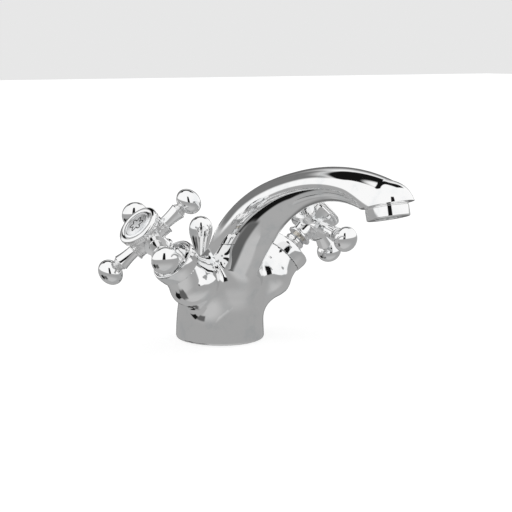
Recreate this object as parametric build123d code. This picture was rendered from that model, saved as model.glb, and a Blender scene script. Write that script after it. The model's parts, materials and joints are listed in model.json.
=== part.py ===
from build123d import *
import os
from math import cos, pi, radians, sin

# Deck mounted two handle basin mixer with a fixed arched spout and a drain lift knob.
# Origin: centre of the base on the deck plane.  +Z is up, the spout points along -Y,
# the hot side is -X and the cold side is +X.  Millimetres.

os.makedirs("parts", exist_ok=True)

# ------------------------------------------------------------------ general fits
joint_gap = 0.02  # between fixed pieces that meet
running_gap = 0.05  # radial clearance of a turning or sliding shaft

# ------------------------------------------------------------------ base and skirt
base_half_width = 25.5
base_half_depth = 26.6
base_edge_round = 1.6
gasket_height = 1.2
gasket_outer_radius = 17.6
gasket_inner_radius = 15.6
gasket_side_gap = 0.2

# ------------------------------------------------------------------ spout
outlet_reach = 150.8
outlet_height = 93.0
spout_tip_radius = 12.2
nose_forward = 2.8  # middle of the rounded nose ahead of the outlet
nose_height = 10.6
nose_round = 7.5
spout_duct_radius = 5.2
mixing_point = (0, -12.0, 46.0)
duct_points = [
    (0, -12.0, 42.0),
    (0, -21.0, 56.5),
    (0, -36.4, 71.6),
    (0, 86.3 - outlet_reach, outlet_height - 4.8),
    (0, 56.8 - outlet_reach, outlet_height + 4.2),
    (0, 27.8 - outlet_reach, outlet_height + 6.6),
    (0, 8.8 - outlet_reach, outlet_height + 4.6),
]
outlet_tilt = 15.0  # degrees the outlet leans forward of vertical

# ------------------------------------------------------------------ aerator
aerator_bore_radius = 8.0
aerator_wall = 1.3
aerator_shoulder = 1.3
aerator_thread_radius = aerator_bore_radius + aerator_wall
aerator_radius = aerator_thread_radius + aerator_shoulder
insert_gap = 0.1
aerator_drop = 6.6
aerator_thread_length = 4.6
aerator_lip = 1.3
washer_height = 1.4
insert_radius = aerator_bore_radius - insert_gap
insert_height = 7.4
insert_wall = 1.2
insert_floor = 1.6
insert_hole_radius = 0.8
insert_hole_pitch = 2.6
wrench_flat_width = 8.0
wrench_flat_height = 2.0

# ------------------------------------------------------------------ valve axes
axis_rise = 42.9  # degrees above the deck
axis_sweep = 5.5  # degrees toward the front
handle_offset_x = 54.8
handle_offset_y = -15.5
handle_height = 65.4

# ------------------------------------------------------------------ horns and seats
horn_end_depth = 27.0  # from the plane of the arms, down the valve axis
horn_end_radius = 12.4
horn_waist_radius = 12.2
horn_ball_radius = 15.4
horn_ball_depth = 41.5
horn_blend = 5.0
disc_radius = 6.3  # sets the cage, thread, chamber and bowl hole round it
cage_bore_gap = 0.1
cage_wall = 1.2
thread_over_cage = 0.7
chamber_over_thread = 0.9
bowl_hole_gap = 0.3
cage_bore_radius = disc_radius + cage_bore_gap
cage_radius = cage_bore_radius + cage_wall
thread_radius = cage_radius + thread_over_cage
thread_length = 6.0
chamber_radius = thread_radius + chamber_over_thread
chamber_floor_step = 3.5
chamber_port_depth = 38.5  # where the mixed water leaves the chamber
seat_depth = 46.5
seat_hole_depth = 9.5
water_way_radius = 3.0

# ------------------------------------------------------------------ bowl round each headwork
bowl_radius = 13.5
bowl_widest_height = 4.1
bowl_rim_height = 6.6
bowl_widest_depth = horn_end_depth - bowl_widest_height
bowl_rim_depth = horn_end_depth - bowl_rim_height
bowl_floor_height = 2.2
bowl_hole_radius = thread_radius + bowl_hole_gap
bowl_inner_radius = 11.9

# ------------------------------------------------------------------ headwork
hex_seat_gap = 0.1  # flats inside the bowl hole, corners over it
hex_across_flats = 2 * (bowl_hole_radius - hex_seat_gap)
hex_height = 3.4
neck_radius = 6.4
neck_groove_radius = 5.4
neck_collar_radius = 5.9
neck_collar_height = 1.4
neck_top_depth = 14.8
cage_bore_depth = 35.0
cage_end_depth = 44.9
window_width = 6.0
window_height = 3.0
spindle_radius = 4.0
spindle_bore_radius = spindle_radius + running_gap
spindle_square = 5.6
spindle_top = 2.0  # above the plane of the arms
spindle_square_depth = 10.8
spindle_shoulder_radius = 5.2
spindle_shoulder_height = 2.6
clip_groove_depth = 0.7
clip_groove_radius = spindle_radius - clip_groove_depth
clip_outer_radius = 5.2
clip_height = 0.8
clip_depth = 14.7
oring_groove_depth = 1.0
oring_groove_radius = spindle_radius - oring_groove_depth
oring_groove_height = 1.5
oring_section_radius = 0.48
oring_depths = (24.5, 28.0)
flange_seal_section_radius = 0.6

# ------------------------------------------------------------------ ceramic discs
disc_height = 2.6
disc_top_depth = 38.6
port_radius = 1.7
port_offset = 3.6
slot_width = 2.4
slot_length = 9.0
slot_depth = 1.4
seal_inner_radius = 3.9

# ------------------------------------------------------------------ cross handle
arm_ball_centre = 28.9
ball_cross_radius = 7.5
ball_axial_radius = 6.1
arm_root_radius = 3.5
arm_edge_radius = 4.6
arm_edge_at = 21.4
bead_radius = 3.7
boss_radius = 5.7
boss_end = 10.3
collar_radius = 6.1
collar_end = 11.3
hub_lip_radius = 7.3
hub_bottom_depth = 12.0
hub_waist_radius = 6.0
hub_bore_radius = 4.4
cap_radius = 12.0
cap_seat = 7.4
crown_radius = 9.6
crown_top = 9.9
screw_shelf = 4.5
hot_rest_turn = -24.6  # degrees of the arms about the valve axis
cold_rest_turn = 20.2

# ------------------------------------------------------------------ index ring and disc
ring_radius = 12.4
ring_tooth_tip = 12.2
ring_tooth_root = 11.7
ring_teeth = 60
ring_band_top = 8.3
ring_teeth_top = 9.5
ring_top = 11.3
index_radius = 9.0
index_edge_top = 11.2
index_dome_top = 11.6
index_groove_radius = 5.6
index_groove_width = 0.7
index_groove_depth = 0.35
screw_radius = 2.0
screw_length = 13.0
screw_head_radius = 3.6
screw_head_height = 2.6
screw_socket = 2.5

# ------------------------------------------------------------------ drain lift
rod_y = 21.0
rod_radius = 2.0
rod_bottom = 11.0
rod_top = 52.0
knob_top = 68.9
knob_radius = 6.95
knob_widest = 62.0
knob_foot = 40.0
knob_foot_wall = 1.0
knob_foot_radius = rod_radius + knob_foot_wall
bush_wall = 1.4
bush_radius = rod_radius + bush_wall
bush_flange_width = 1.2
bush_flange_radius = bush_radius + bush_flange_width
bush_flange_height = 1.6
bush_pocket_gap = 0.3  # round the flange
rod_hole_gap = 0.5  # round the rod below the bush
bush_bottom = 12.0
bush_top = 27.5
rod_seal_height = 20.0

# ------------------------------------------------------------------ underside
inlet_x = 9.0
inlet_y = 4.0
inlet_thread_radius = 5.0
inlet_depth = 12.0
stud_y = -6.5
stud_thread_radius = 4.0
stud_depth = 14.0

# half width, half depth, y, z, angle of the path above the deck, squareness
spout_stations = [
    (base_half_width, base_half_depth, 0.0, 0.0, 90.0, 2.15),
    (base_half_width - 0.3, base_half_depth - 0.4, 0.0, 10.0, 90.0, 2.1),
    (base_half_width - 1.1, base_half_depth - 1.6, -1.2, 21.0, 87.0, 2.05),
    (base_half_width - 3.7, base_half_depth - 5.2, -5.6, 32.0, 78.0, 2.0),
    (18.8, 19.0, -11.6, 43.0, 64.0, 2.0),
    (16.4, 17.8, -21.0, 56.0, 51.0, 2.0),
    (14.2, 15.4, -36.4, 71.2, 40.0, 2.0),
    (12.9, 13.1, -51.0, 81.4, 30.5, 2.0),
    (12.1, 11.3, 86.3 - outlet_reach, outlet_height - 4.9, 23.0, 2.0),
    (11.5, 9.8, 71.8 - outlet_reach, outlet_height + 0.5, 17.0, 2.0),
    (11.2, 9.1, 56.8 - outlet_reach, outlet_height + 4.3, 11.3, 2.0),
    (11.2, 8.8, 41.8 - outlet_reach, outlet_height + 6.4, 5.0, 2.0),
    (11.6, 8.8, 27.8 - outlet_reach, outlet_height + 6.8, -2.0, 2.0),
    (12.0, 9.0, 14.8 - outlet_reach, outlet_height + 5.6, -8.0, 2.0),
    (spout_tip_radius, 9.2, 1.8 - outlet_reach, outlet_height + 3.6, -13.0, 2.0),
]
section_points = 16


def section(half_x, half_n, y, z, lean, power):
    """Rounded section across the casting, its seam on the back."""
    along = Vector(0, -cos(radians(lean)), sin(radians(lean)))
    plane = Plane(origin=(0, y, z), x_dir=(1, 0, 0), z_dir=along)
    points = []
    for step in range(section_points):
        angle = pi / 2 + 2 * pi * step / section_points
        across = cos(angle)
        deep = sin(angle)
        point_x = half_x * (1 if across >= 0 else -1) * abs(across) ** (2 / power)
        point_n = half_n * (1 if deep >= 0 else -1) * abs(deep) ** (2 / power)
        points.append((point_x, point_n))
    return plane * make_face(Spline(*points, periodic=True))


def turned(*points):
    """Solid of revolution about Z from radius and height pairs."""
    return revolve(make_face(Plane.XZ * Polyline(*points, close=True)), Axis.Z)


def disc(radius, bottom, top):
    """Cylinder about Z between two heights."""
    return Pos(0, 0, bottom) * Cylinder(radius, top - bottom, align=(Align.CENTER, Align.CENTER, Align.MIN))


def tube(outer, inner, bottom, top):
    """Hollow cylinder about Z between two heights."""
    return disc(outer, bottom, top) - disc(inner, bottom - 1, top + 1)


def torus_at(centre_radius, section_radius, height):
    """O-ring about Z."""
    return Pos(0, 0, height) * Torus(centre_radius, section_radius)


def bar_between(start, end, radius):
    """Round bar between two points."""
    run = Vector(*end) - Vector(*start)
    plane = Plane(origin=start, z_dir=run)
    return plane * Cylinder(radius, run.length, align=(Align.CENTER, Align.CENTER, Align.MIN))


def prism(sides, across_flats, bottom, top):
    """Regular prism about Z."""
    face = RegularPolygon(across_flats / 2, sides, major_radius=False)
    return Pos(0, 0, bottom) * extrude(face, top - bottom)


def valve_plane(side):
    """Frame of one valve: origin where the arms cross, Z outward along the spindle."""
    rise = radians(axis_rise)
    sweep = radians(axis_sweep)
    outward = Vector(side * cos(rise) * cos(sweep), -cos(rise) * sin(sweep), sin(rise))
    back = Vector(side * sin(sweep), cos(sweep), 0)
    return Plane(origin=(side * handle_offset_x, handle_offset_y, handle_height), x_dir=back, z_dir=outward)


def tip_plane(forward=0.0):
    """Frame on the flat under the spout tip: Z points up into the spout."""
    tilt = radians(outlet_tilt)
    y = -outlet_reach - forward * cos(tilt)
    z = outlet_height + forward * sin(tilt)
    return Plane(origin=(0, y, z), x_dir=(1, 0, 0), z_dir=(0, sin(tilt), cos(tilt)))


def save(part, name):
    """Write one node."""
    part.label = name
    export_step(part, "parts/" + name + ".step")
    print(name, round(part.volume, 1), len(part.solids()), part.is_valid)


# ================================================================== main casting
def spout_and_skirt():
    """Outer shape of base, skirt and spout."""
    shape = loft([section(*station) for station in spout_stations])
    nose = Cylinder(spout_tip_radius, nose_height, align=(Align.CENTER, Align.CENTER, Align.MIN))
    nose = fillet(nose.edges().group_by(Axis.Z)[-1], nose_round)
    shape += tip_plane(nose_forward) * nose
    shape -= tip_plane() * Pos(0, 0, -10) * Box(60, 44, 20)
    return shape


def horn():
    """Outer shape of one horn in the valve frame."""
    root = -horn_ball_depth - 8
    solid = disc(horn_waist_radius, root + 6, -horn_end_depth - 5)
    solid += turned(
        (0, -horn_end_depth - 5),
        (horn_waist_radius, -horn_end_depth - 5),
        (horn_end_radius, -horn_end_depth),
        (0, -horn_end_depth),
    )
    return solid + Pos(0, 0, -horn_ball_depth) * Sphere(horn_ball_radius)


def outer_shape():
    """Skirt, spout and both horns with blended joins."""
    shape = spout_and_skirt()
    for side in (-1, 1):
        shape += valve_plane(side) * horn()
    joins = []
    for edge in shape.edges():
        middle = edge.center()
        on_side = abs(middle.X) > 12 and 22 < middle.Z < 60 and middle.Y > -60
        if on_side and edge.geom_type == GeomType.BSPLINE and edge.length > 8:
            joins.append(edge)
    shape = fillet(joins, horn_blend)
    rim = [edge for edge in shape.edges() if abs(edge.center().Z) < 0.01]
    return fillet(rim, base_edge_round)


def valve_hollow():
    """Machined hollow of one valve seat in the valve frame."""
    hollow = disc(thread_radius, -seat_depth, -horn_end_depth + 1)
    hollow += disc(chamber_radius, -seat_depth + chamber_floor_step, -horn_end_depth - thread_length - 1)
    hollow += disc(water_way_radius, -seat_depth - seat_hole_depth, -seat_depth)
    return hollow


def spout_duct():
    """Water way from the mixing point to the outlet."""
    path = Spline(*duct_points)
    face = Plane(origin=path @ 0, z_dir=path % 0) * Circle(spout_duct_radius)
    return sweep(face, path)


def casting():
    """One piece brass casting with its water ways, seats and underside."""
    shape = outer_shape()
    tools = []
    for side in (-1, 1):
        frame = valve_plane(side)
        tools.append(frame * valve_hollow())
        seat_end = (frame * Pos(0, 0, -seat_depth - seat_hole_depth + 1.5)).position
        tools.append(bar_between((side * inlet_x, inlet_y, inlet_depth - 1), seat_end, water_way_radius))
        chamber = (frame * Pos(0, 0, -chamber_port_depth)).position
        tools.append(bar_between(chamber, mixing_point, water_way_radius))
        tools.append(Pos(side * inlet_x, inlet_y, 0) * disc(inlet_thread_radius, -1, inlet_depth))
    tools.append(spout_duct())
    tools.append(tip_plane() * disc(aerator_thread_radius + joint_gap, -1, aerator_thread_length + washer_height))
    tools.append(Pos(0, stud_y, 0) * disc(stud_thread_radius, -1, stud_depth))
    tools.append(
        tube(gasket_outer_radius + gasket_side_gap, gasket_inner_radius - gasket_side_gap, -1, gasket_height)
    )
    tools.append(Pos(0, rod_y, 0) * disc(bush_radius + joint_gap, bush_bottom, bush_top + 1))
    tools.append(Pos(0, rod_y, 0) * disc(bush_flange_radius + bush_pocket_gap, bush_top - joint_gap, bush_top + 12))
    tools.append(Pos(0, rod_y, 0) * disc(rod_radius + rod_hole_gap, -1, bush_bottom + 1))
    for tool in tools:
        shape -= tool
    return shape


# ================================================================== outlet
def aerator_housing():
    """Threaded ring that screws up into the spout."""
    ring = tube(aerator_radius, aerator_bore_radius, -aerator_drop, -joint_gap)
    ring = chamfer(ring.edges().group_by(Axis.Z)[0].filter_by(lambda e: e.radius > 9), 0.5)
    ring += tube(aerator_thread_radius, aerator_bore_radius, -joint_gap, aerator_thread_length)
    ring += tube(aerator_bore_radius + 0.5, aerator_bore_radius - aerator_lip, -aerator_drop, -aerator_drop + 1.2)
    for turn in (0, 180):
        flat = Pos(aerator_radius + 0.8, 0, -aerator_drop) * Box(2.2, wrench_flat_width, 2 * wrench_flat_height)
        ring -= Rot(0, 0, turn) * flat
    return ring


def aerator_insert():
    """Jet insert with a grid of holes."""
    bottom = -aerator_drop + 1.2 + joint_gap
    insert = disc(insert_radius, bottom, bottom + insert_height)
    insert -= disc(insert_radius - insert_wall, bottom + insert_floor, bottom + insert_height + 1)
    holes = [(0.0, 0.0)]
    for ring_index, count in ((1, 6), (2, 12)):
        for step in range(count):
            angle = 2 * pi * step / count
            reach = insert_hole_pitch * ring_index
            holes.append((reach * cos(angle), reach * sin(angle)))
    for hole_x, hole_y in holes:
        insert -= Pos(hole_x, hole_y, 0) * disc(insert_hole_radius, bottom - 1, bottom + 3)
    return insert


def aerator_washer():
    """Flat rubber washer above the housing."""
    bottom = aerator_thread_length + joint_gap
    return tube(aerator_thread_radius - 0.1, aerator_bore_radius - 1.6, bottom, bottom + washer_height - 0.1)


# ================================================================== headwork
def bowl():
    """Open cup clamped between the horn and the headwork flange."""
    bottom = -horn_end_depth + joint_gap
    floor = bottom + bowl_floor_height
    outer = ThreePointArc(
        (horn_end_radius, bottom),
        (bowl_radius - 0.25, (bottom - bowl_widest_depth) / 2 + 0.1),
        (bowl_radius, -bowl_widest_depth),
    )
    lip = ThreePointArc(
        (bowl_radius, -bowl_widest_depth),
        (bowl_radius - 0.55, -bowl_rim_depth - 0.35),
        (bowl_inner_radius, -bowl_rim_depth - 0.3),
    )
    inner = ThreePointArc(
        (bowl_inner_radius, -bowl_rim_depth - 0.3),
        (bowl_inner_radius - 0.7, floor + 1.4),
        (bowl_inner_radius - 1.9, floor),
    )
    close = Polyline(
        (bowl_inner_radius - 1.9, floor),
        (bowl_hole_radius, floor),
        (bowl_hole_radius, bottom),
        (horn_end_radius, bottom),
    )
    return revolve(make_face(Plane.XZ * (Curve() + outer + lip + inner + close)), Axis.Z)


def bonnet():
    """Headwork body: hexagon flange, neck, threaded shank and disc cage."""
    flange = -horn_end_depth + bowl_floor_height + 2 * joint_gap
    hex_top = flange + hex_height
    body = prism(6, hex_across_flats, flange, hex_top)
    body = body & turned(
        (0, flange),
        (hex_across_flats / 2 + 1.2, flange),
        (hex_across_flats / 2 + 1.2, hex_top - 0.8),
        (hex_across_flats / 2, hex_top),
        (0, hex_top),
    )
    collar_bottom = -neck_top_depth - neck_collar_height
    body += turned(
        (0, hex_top - 0.5),
        (neck_radius, hex_top - 0.5),
        (neck_radius, collar_bottom - 1.6),
        (neck_groove_radius, collar_bottom - 0.8),
        (neck_groove_radius, collar_bottom),
        (neck_collar_radius, collar_bottom + 0.2),
        (neck_collar_radius, -neck_top_depth - 0.3),
        (neck_collar_radius - 0.3, -neck_top_depth),
        (0, -neck_top_depth),
    )
    body += disc(thread_radius - joint_gap, -horn_end_depth - thread_length, flange + 0.5)
    body += disc(cage_radius, -cage_end_depth, -horn_end_depth - thread_length + 0.5)
    body -= disc(spindle_bore_radius, -cage_end_depth - 1, 0)
    body -= disc(cage_bore_radius, -cage_end_depth - 1, -cage_bore_depth)
    window_middle = -disc_top_depth + window_height / 2 + 0.2
    body -= Pos(0, 0, window_middle) * Box(3 * cage_radius, window_width, window_height)
    groove = torus_at(thread_radius - joint_gap, flange_seal_section_radius + 0.05, -horn_end_depth - 1.0)
    return body - groove


def flange_seal():
    """O-ring on the shank below the flange."""
    ring = torus_at(thread_radius - joint_gap, flange_seal_section_radius, -horn_end_depth - 1.0)
    return ring & disc(thread_radius - joint_gap / 2, -horn_end_depth - 3, -horn_end_depth + 1)


def spindle():
    """Turning spindle with its square, clip groove, O-ring grooves and tongue."""
    shoulder_top = -disc_top_depth + spindle_shoulder_height
    shaft = disc(spindle_radius, shoulder_top - 1, -spindle_square_depth)
    shaft += disc(spindle_shoulder_radius, -disc_top_depth + 0.05, shoulder_top)
    square = Box(spindle_square, spindle_square, spindle_top + spindle_square_depth + 1)
    shaft += Pos(0, 0, (spindle_top - spindle_square_depth - 1) / 2) * square
    tongue_height = slot_depth - 0.1
    tongue = Box(slot_length - 0.2, slot_width - 0.1, tongue_height + 0.5)
    shaft += Pos(0, 0, -disc_top_depth + 0.5 - (tongue_height + 0.5) / 2) * tongue
    shaft -= tube(spindle_radius + 1, clip_groove_radius, -clip_depth - 0.05, -clip_depth + clip_height + 0.05)
    for depth in oring_depths:
        shaft -= tube(spindle_radius + 1, oring_groove_radius, -depth - oring_groove_height, -depth)
    return shaft - disc(screw_radius, spindle_top - screw_length + 2, spindle_top + 1)


def spindle_rings():
    """Two equal O-rings on the spindle."""
    centre = oring_groove_radius + oring_section_radius + 0.03
    rings = [torus_at(centre, oring_section_radius, -depth - oring_groove_height / 2) for depth in oring_depths]
    return Compound(children=rings)


def clip():
    """Open retaining clip above the neck."""
    ring = tube(clip_outer_radius, clip_groove_radius + 0.02, -clip_depth, -clip_depth + clip_height)
    return ring - Pos(clip_outer_radius, 0, -clip_depth + clip_height / 2) * Box(2 * clip_outer_radius, 3.2, 3)


def moving_disc():
    """Ceramic disc turned by the spindle tongue."""
    bottom = -disc_top_depth - disc_height
    plate = disc(disc_radius, bottom, -disc_top_depth)
    plate -= Pos(0, 0, -disc_top_depth) * Box(slot_length, slot_width, 2 * slot_depth)
    for side in (-1, 1):
        plate -= Pos(0, side * port_offset, 0) * disc(port_radius, bottom - 1, -disc_top_depth + 1)
    return plate


def fixed_disc():
    """Ceramic disc held in the cage, its ports a quarter turn away."""
    top = -disc_top_depth - disc_height - joint_gap
    plate = disc(disc_radius, top - disc_height, top)
    for side in (-1, 1):
        plate -= Pos(side * port_offset, 0, 0) * disc(port_radius, top - disc_height - 1, top + 1)
    return plate


def seat_seal():
    """Rubber lip seal between the fixed disc and the seat."""
    top = -disc_top_depth - 2 * disc_height - 2 * joint_gap
    return turned(
        (port_offset + port_radius, top),
        (disc_radius, top),
        (disc_radius, -cage_end_depth - 0.05),
        (cage_radius, -cage_end_depth - 0.05),
        (cage_radius, -seat_depth + joint_gap),
        (seal_inner_radius, -seat_depth + joint_gap),
        (seal_inner_radius, -seat_depth + 0.8),
    )


# ================================================================== cross handle
def arm():
    """One arm along X, from the collar to the ball."""
    start = ball_axial_radius * 0.93
    neck_end = arm_ball_centre - start
    cone = Spline((collar_end, arm_root_radius), (arm_edge_at, arm_edge_radius), tangents=((1, -0.04), (1, 0.28)))
    steps = Polyline(
        (arm_edge_at, arm_edge_radius),
        (arm_edge_at + 0.35, arm_edge_radius - 0.3),
        (arm_edge_at + 0.35, bead_radius - 0.5),
        (arm_edge_at + 0.75, bead_radius),
        (arm_edge_at + 1.35, bead_radius),
        (arm_edge_at + 1.75, bead_radius - 0.9),
        (arm_edge_at + 2.15, bead_radius - 0.9),
        (arm_edge_at + 2.35, bead_radius - 0.1),
        (arm_edge_at + 2.75, bead_radius - 0.1),
        (arm_edge_at + 2.95, bead_radius - 1.0),
        (neck_end + 1.0, bead_radius - 1.0),
        (neck_end + 1.0, 0),
        (collar_end - 1, 0),
        (collar_end - 1, arm_root_radius),
        (collar_end, arm_root_radius),
    )
    bar = revolve(make_face(Curve() + cone + steps), Axis.X)
    half = Plane.XY * Ellipse(ball_axial_radius, ball_cross_radius)
    half = half & Pos(0, 10) * Rectangle(40, 20)
    bar += Pos(arm_ball_centre, 0, 0) * revolve(half, Axis.X)
    along = Rot(0, 90, 0)
    boss = along * disc(boss_radius, 0, boss_end)
    groove = along * disc(boss_radius - 0.5, boss_end - 0.1, boss_end + 0.3)
    collar = along * disc(collar_radius, boss_end + 0.2, collar_end)
    return bar + boss + groove + collar


def handle():
    """Hub with four ball ended arms and the seat of the index ring."""
    hub = turned(
        (0, -hub_bottom_depth),
        (hub_lip_radius - 0.4, -hub_bottom_depth),
        (hub_lip_radius, -hub_bottom_depth + 0.5),
        (hub_lip_radius, -hub_bottom_depth + 1.1),
        (hub_lip_radius - 0.5, -hub_bottom_depth + 1.6),
        (hub_waist_radius, -hub_bottom_depth + 2.6),
        (hub_waist_radius, -4.0),
        (hub_waist_radius + 1.0, -1.0),
        (cap_radius - 0.5, cap_seat - 0.7),
        (cap_radius, cap_seat),
        (crown_radius, cap_seat),
        (crown_radius, crown_top),
        (0, crown_top),
    )
    single = arm()
    for quarter in range(4):
        hub += Rot(0, 0, 90 * quarter) * single
    socket = spindle_square + 0.06
    socket_height = spindle_top + 0.2 + hub_bottom_depth
    hub -= Pos(0, 0, (spindle_top + 0.2 - hub_bottom_depth) / 2) * Box(socket, socket, socket_height + 0.001)
    hub -= disc(hub_bore_radius, -hub_bottom_depth - 1, -spindle_square_depth + 0.1)
    hub -= disc(screw_radius + 0.2, 0, screw_shelf + 1)
    hub -= disc(screw_head_radius + 0.4, screw_shelf, crown_top + 1)
    return hub


def handle_screw():
    """Cap screw that holds the handle on the spindle."""
    seat = screw_shelf + joint_gap
    screw = disc(screw_head_radius, seat, seat + screw_head_height)
    screw += disc(screw_radius - joint_gap, spindle_top - screw_length + 3, seat + 0.5)
    return screw - prism(6, screw_socket, seat + 1.0, seat + screw_head_height + 1)


def index_ring():
    """Ring with a toothed band and a domed upper edge."""
    inner = crown_radius + joint_gap
    ring = tube(ring_radius - 0.2, inner, cap_seat + joint_gap, ring_band_top)
    points = []
    for step in range(2 * ring_teeth):
        radius = ring_tooth_tip if step % 2 == 0 else ring_tooth_root
        angle = pi * step / ring_teeth
        points.append((radius * cos(angle), radius * sin(angle)))
    band = extrude(make_face(Polyline(*points, close=True)), ring_teeth_top - ring_band_top)
    ring += Pos(0, 0, ring_band_top) * band - disc(inner, 0, 20)
    dome = ThreePointArc(
        (ring_radius, ring_teeth_top + 0.5),
        (ring_radius - 0.75, ring_top - 0.45),
        (ring_radius - 2.2, ring_top),
    )
    close = Polyline(
        (ring_radius - 2.2, ring_top),
        (index_radius + joint_gap, ring_top - 0.3),
        (index_radius + joint_gap, crown_top + joint_gap),
        (inner, crown_top + joint_gap),
        (inner, ring_teeth_top),
        (ring_radius, ring_teeth_top),
        (ring_radius, ring_teeth_top + 0.5),
    )
    return ring + revolve(make_face(Plane.XZ * (Curve() + dome + close)), Axis.Z)


def index_disc():
    """Slightly domed disc with a plain concentric groove."""
    bottom = crown_top + joint_gap
    groove_outer = index_groove_radius + index_groove_width
    return turned(
        (0, bottom),
        (index_radius, bottom),
        (index_radius, index_edge_top),
        (groove_outer, index_dome_top - 0.12),
        (groove_outer - 0.1, index_dome_top - 0.12 - index_groove_depth),
        (index_groove_radius + 0.1, index_dome_top - 0.1 - index_groove_depth),
        (index_groove_radius, index_dome_top - 0.1),
        (0, index_dome_top),
    )


# ================================================================== drain lift
def lift_rod():
    """Rod that slides in the bush."""
    return Pos(0, rod_y, 0) * (
        disc(rod_radius, rod_bottom, rod_top) - disc(1.2, rod_bottom - 1, rod_bottom + 6)
    )


def lift_knob():
    """Pear shaped knob screwed on the rod."""
    crown = Spline(
        (0, knob_top),
        (knob_radius, knob_widest),
        (knob_foot_radius + 0.7, knob_foot + 7.5),
        (knob_foot_radius, knob_foot),
        tangents=((1, 0), (0, -1)),
    )
    close = Polyline(
        (knob_foot_radius, knob_foot),
        (rod_radius + joint_gap, knob_foot),
        (rod_radius + joint_gap, rod_top + joint_gap),
        (0, rod_top + joint_gap),
        (0, knob_top),
    )
    return Pos(0, rod_y, 0) * revolve(make_face(Plane.XZ * (Curve() + crown + close)), Axis.Z)


def rod_bush():
    """Guide bush in the back of the casting."""
    bush = tube(bush_radius, rod_radius + running_gap, bush_bottom, bush_top)
    bush += tube(bush_flange_radius, rod_radius + running_gap, bush_top, bush_top + bush_flange_height)
    bush -= tube(rod_radius + 0.9, rod_radius, rod_seal_height, rod_seal_height + 1.3)
    return Pos(0, rod_y, 0) * bush


def rod_seal():
    """O-ring in the guide bush."""
    radius = 0.42
    return Pos(0, rod_y, 0) * torus_at(rod_radius + radius + 0.04, radius, rod_seal_height + 0.65)


def gasket():
    """Rubber ring in the underside."""
    return tube(gasket_outer_radius, gasket_inner_radius, 0, gasket_height - joint_gap)


# ================================================================== write the nodes
save(casting(), "body_casting")
save(gasket(), "base_gasket")
save(tip_plane() * aerator_housing(), "aerator_housing")
save(tip_plane() * aerator_insert(), "aerator_insert")
save(tip_plane() * aerator_washer(), "aerator_washer")
save(lift_knob(), "lift_knob")
save(lift_rod(), "lift_rod")
save(rod_bush(), "rod_bush")
save(rod_seal(), "rod_seal")

fixed_pieces = {
    "bowl": bowl(),
    "headwork": bonnet(),
    "flange_seal": flange_seal(),
    "fixed_disc": fixed_disc(),
    "seat_seal": seat_seal(),
}
turning_pieces = {
    "spindle": spindle(),
    "spindle_rings": spindle_rings(),
    "spindle_clip": clip(),
    "moving_disc": moving_disc(),
    "handle": handle(),
    "handle_screw": handle_screw(),
    "index_ring": index_ring(),
    "index_disc": index_disc(),
}
for prefix, side, rest_turn in (("hot_", -1, hot_rest_turn), ("cold_", 1, cold_rest_turn)):
    frame = valve_plane(side)
    for name, piece in fixed_pieces.items():
        save(frame * Rot(0, 0, rest_turn) * piece, prefix + name)
    for name, piece in turning_pieces.items():
        save(frame * Rot(0, 0, rest_turn) * piece, prefix + name)
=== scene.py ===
"""Deck mounted basin mixer with cross handles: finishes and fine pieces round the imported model.

Sizes in the classes are millimetres.  Meshes are written in metres, in the frame of the CAD
model: the base centre is the origin, Z is up, the spout points along -Y, the hot side is -X.
"""

import json
import logging
import math
from collections.abc import Mapping, Sequence
from dataclasses import dataclass, field
from enum import Enum
from typing import Any

import bpy
import numpy as np
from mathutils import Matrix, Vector


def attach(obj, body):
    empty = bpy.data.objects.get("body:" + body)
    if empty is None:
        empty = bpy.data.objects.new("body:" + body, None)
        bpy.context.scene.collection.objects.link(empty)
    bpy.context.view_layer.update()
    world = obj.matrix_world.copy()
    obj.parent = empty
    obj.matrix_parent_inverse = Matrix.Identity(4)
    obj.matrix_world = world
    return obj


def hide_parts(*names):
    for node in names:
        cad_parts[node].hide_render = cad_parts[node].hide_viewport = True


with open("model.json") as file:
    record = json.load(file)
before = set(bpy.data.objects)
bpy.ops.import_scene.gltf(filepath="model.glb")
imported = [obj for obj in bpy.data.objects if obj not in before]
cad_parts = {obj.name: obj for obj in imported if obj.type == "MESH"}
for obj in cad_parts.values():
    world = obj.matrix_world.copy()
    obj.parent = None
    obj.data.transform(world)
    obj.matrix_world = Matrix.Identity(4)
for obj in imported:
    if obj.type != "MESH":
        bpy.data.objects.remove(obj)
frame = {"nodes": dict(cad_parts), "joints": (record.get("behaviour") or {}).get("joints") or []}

LOG = logging.getLogger("mixer")
MM = 0.001
FULL_TURN = 2.0 * math.pi
SMUDGE_RANGE = (0.45, 0.75)
GLAZE_ROUGHNESS = 0.04
RUN_SHARE = 0.48
SAME_POINT = 1e-5
TINY = 1e-9


# ---------------------------------------------------------------------------- shading helpers
def linear_colour(hex_code: str, alpha: float = 1.0) -> tuple[float, float, float, float]:
    """Turn an sRGB hex value into a linear colour.

    Args:
        hex_code: six hex digits, two for each channel.
        alpha: opacity of the result.

    Returns:
        Linear red, green, blue and alpha.
    """
    channels = np.array([int(hex_code[i : i + 2], 16) for i in (0, 2, 4)]) / 255.0
    low = channels / 12.92
    high = ((channels + 0.055) / 1.055) ** 2.4
    red, green, blue = np.where(channels <= 0.04045, low, high)
    return float(red), float(green), float(blue), alpha


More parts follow.
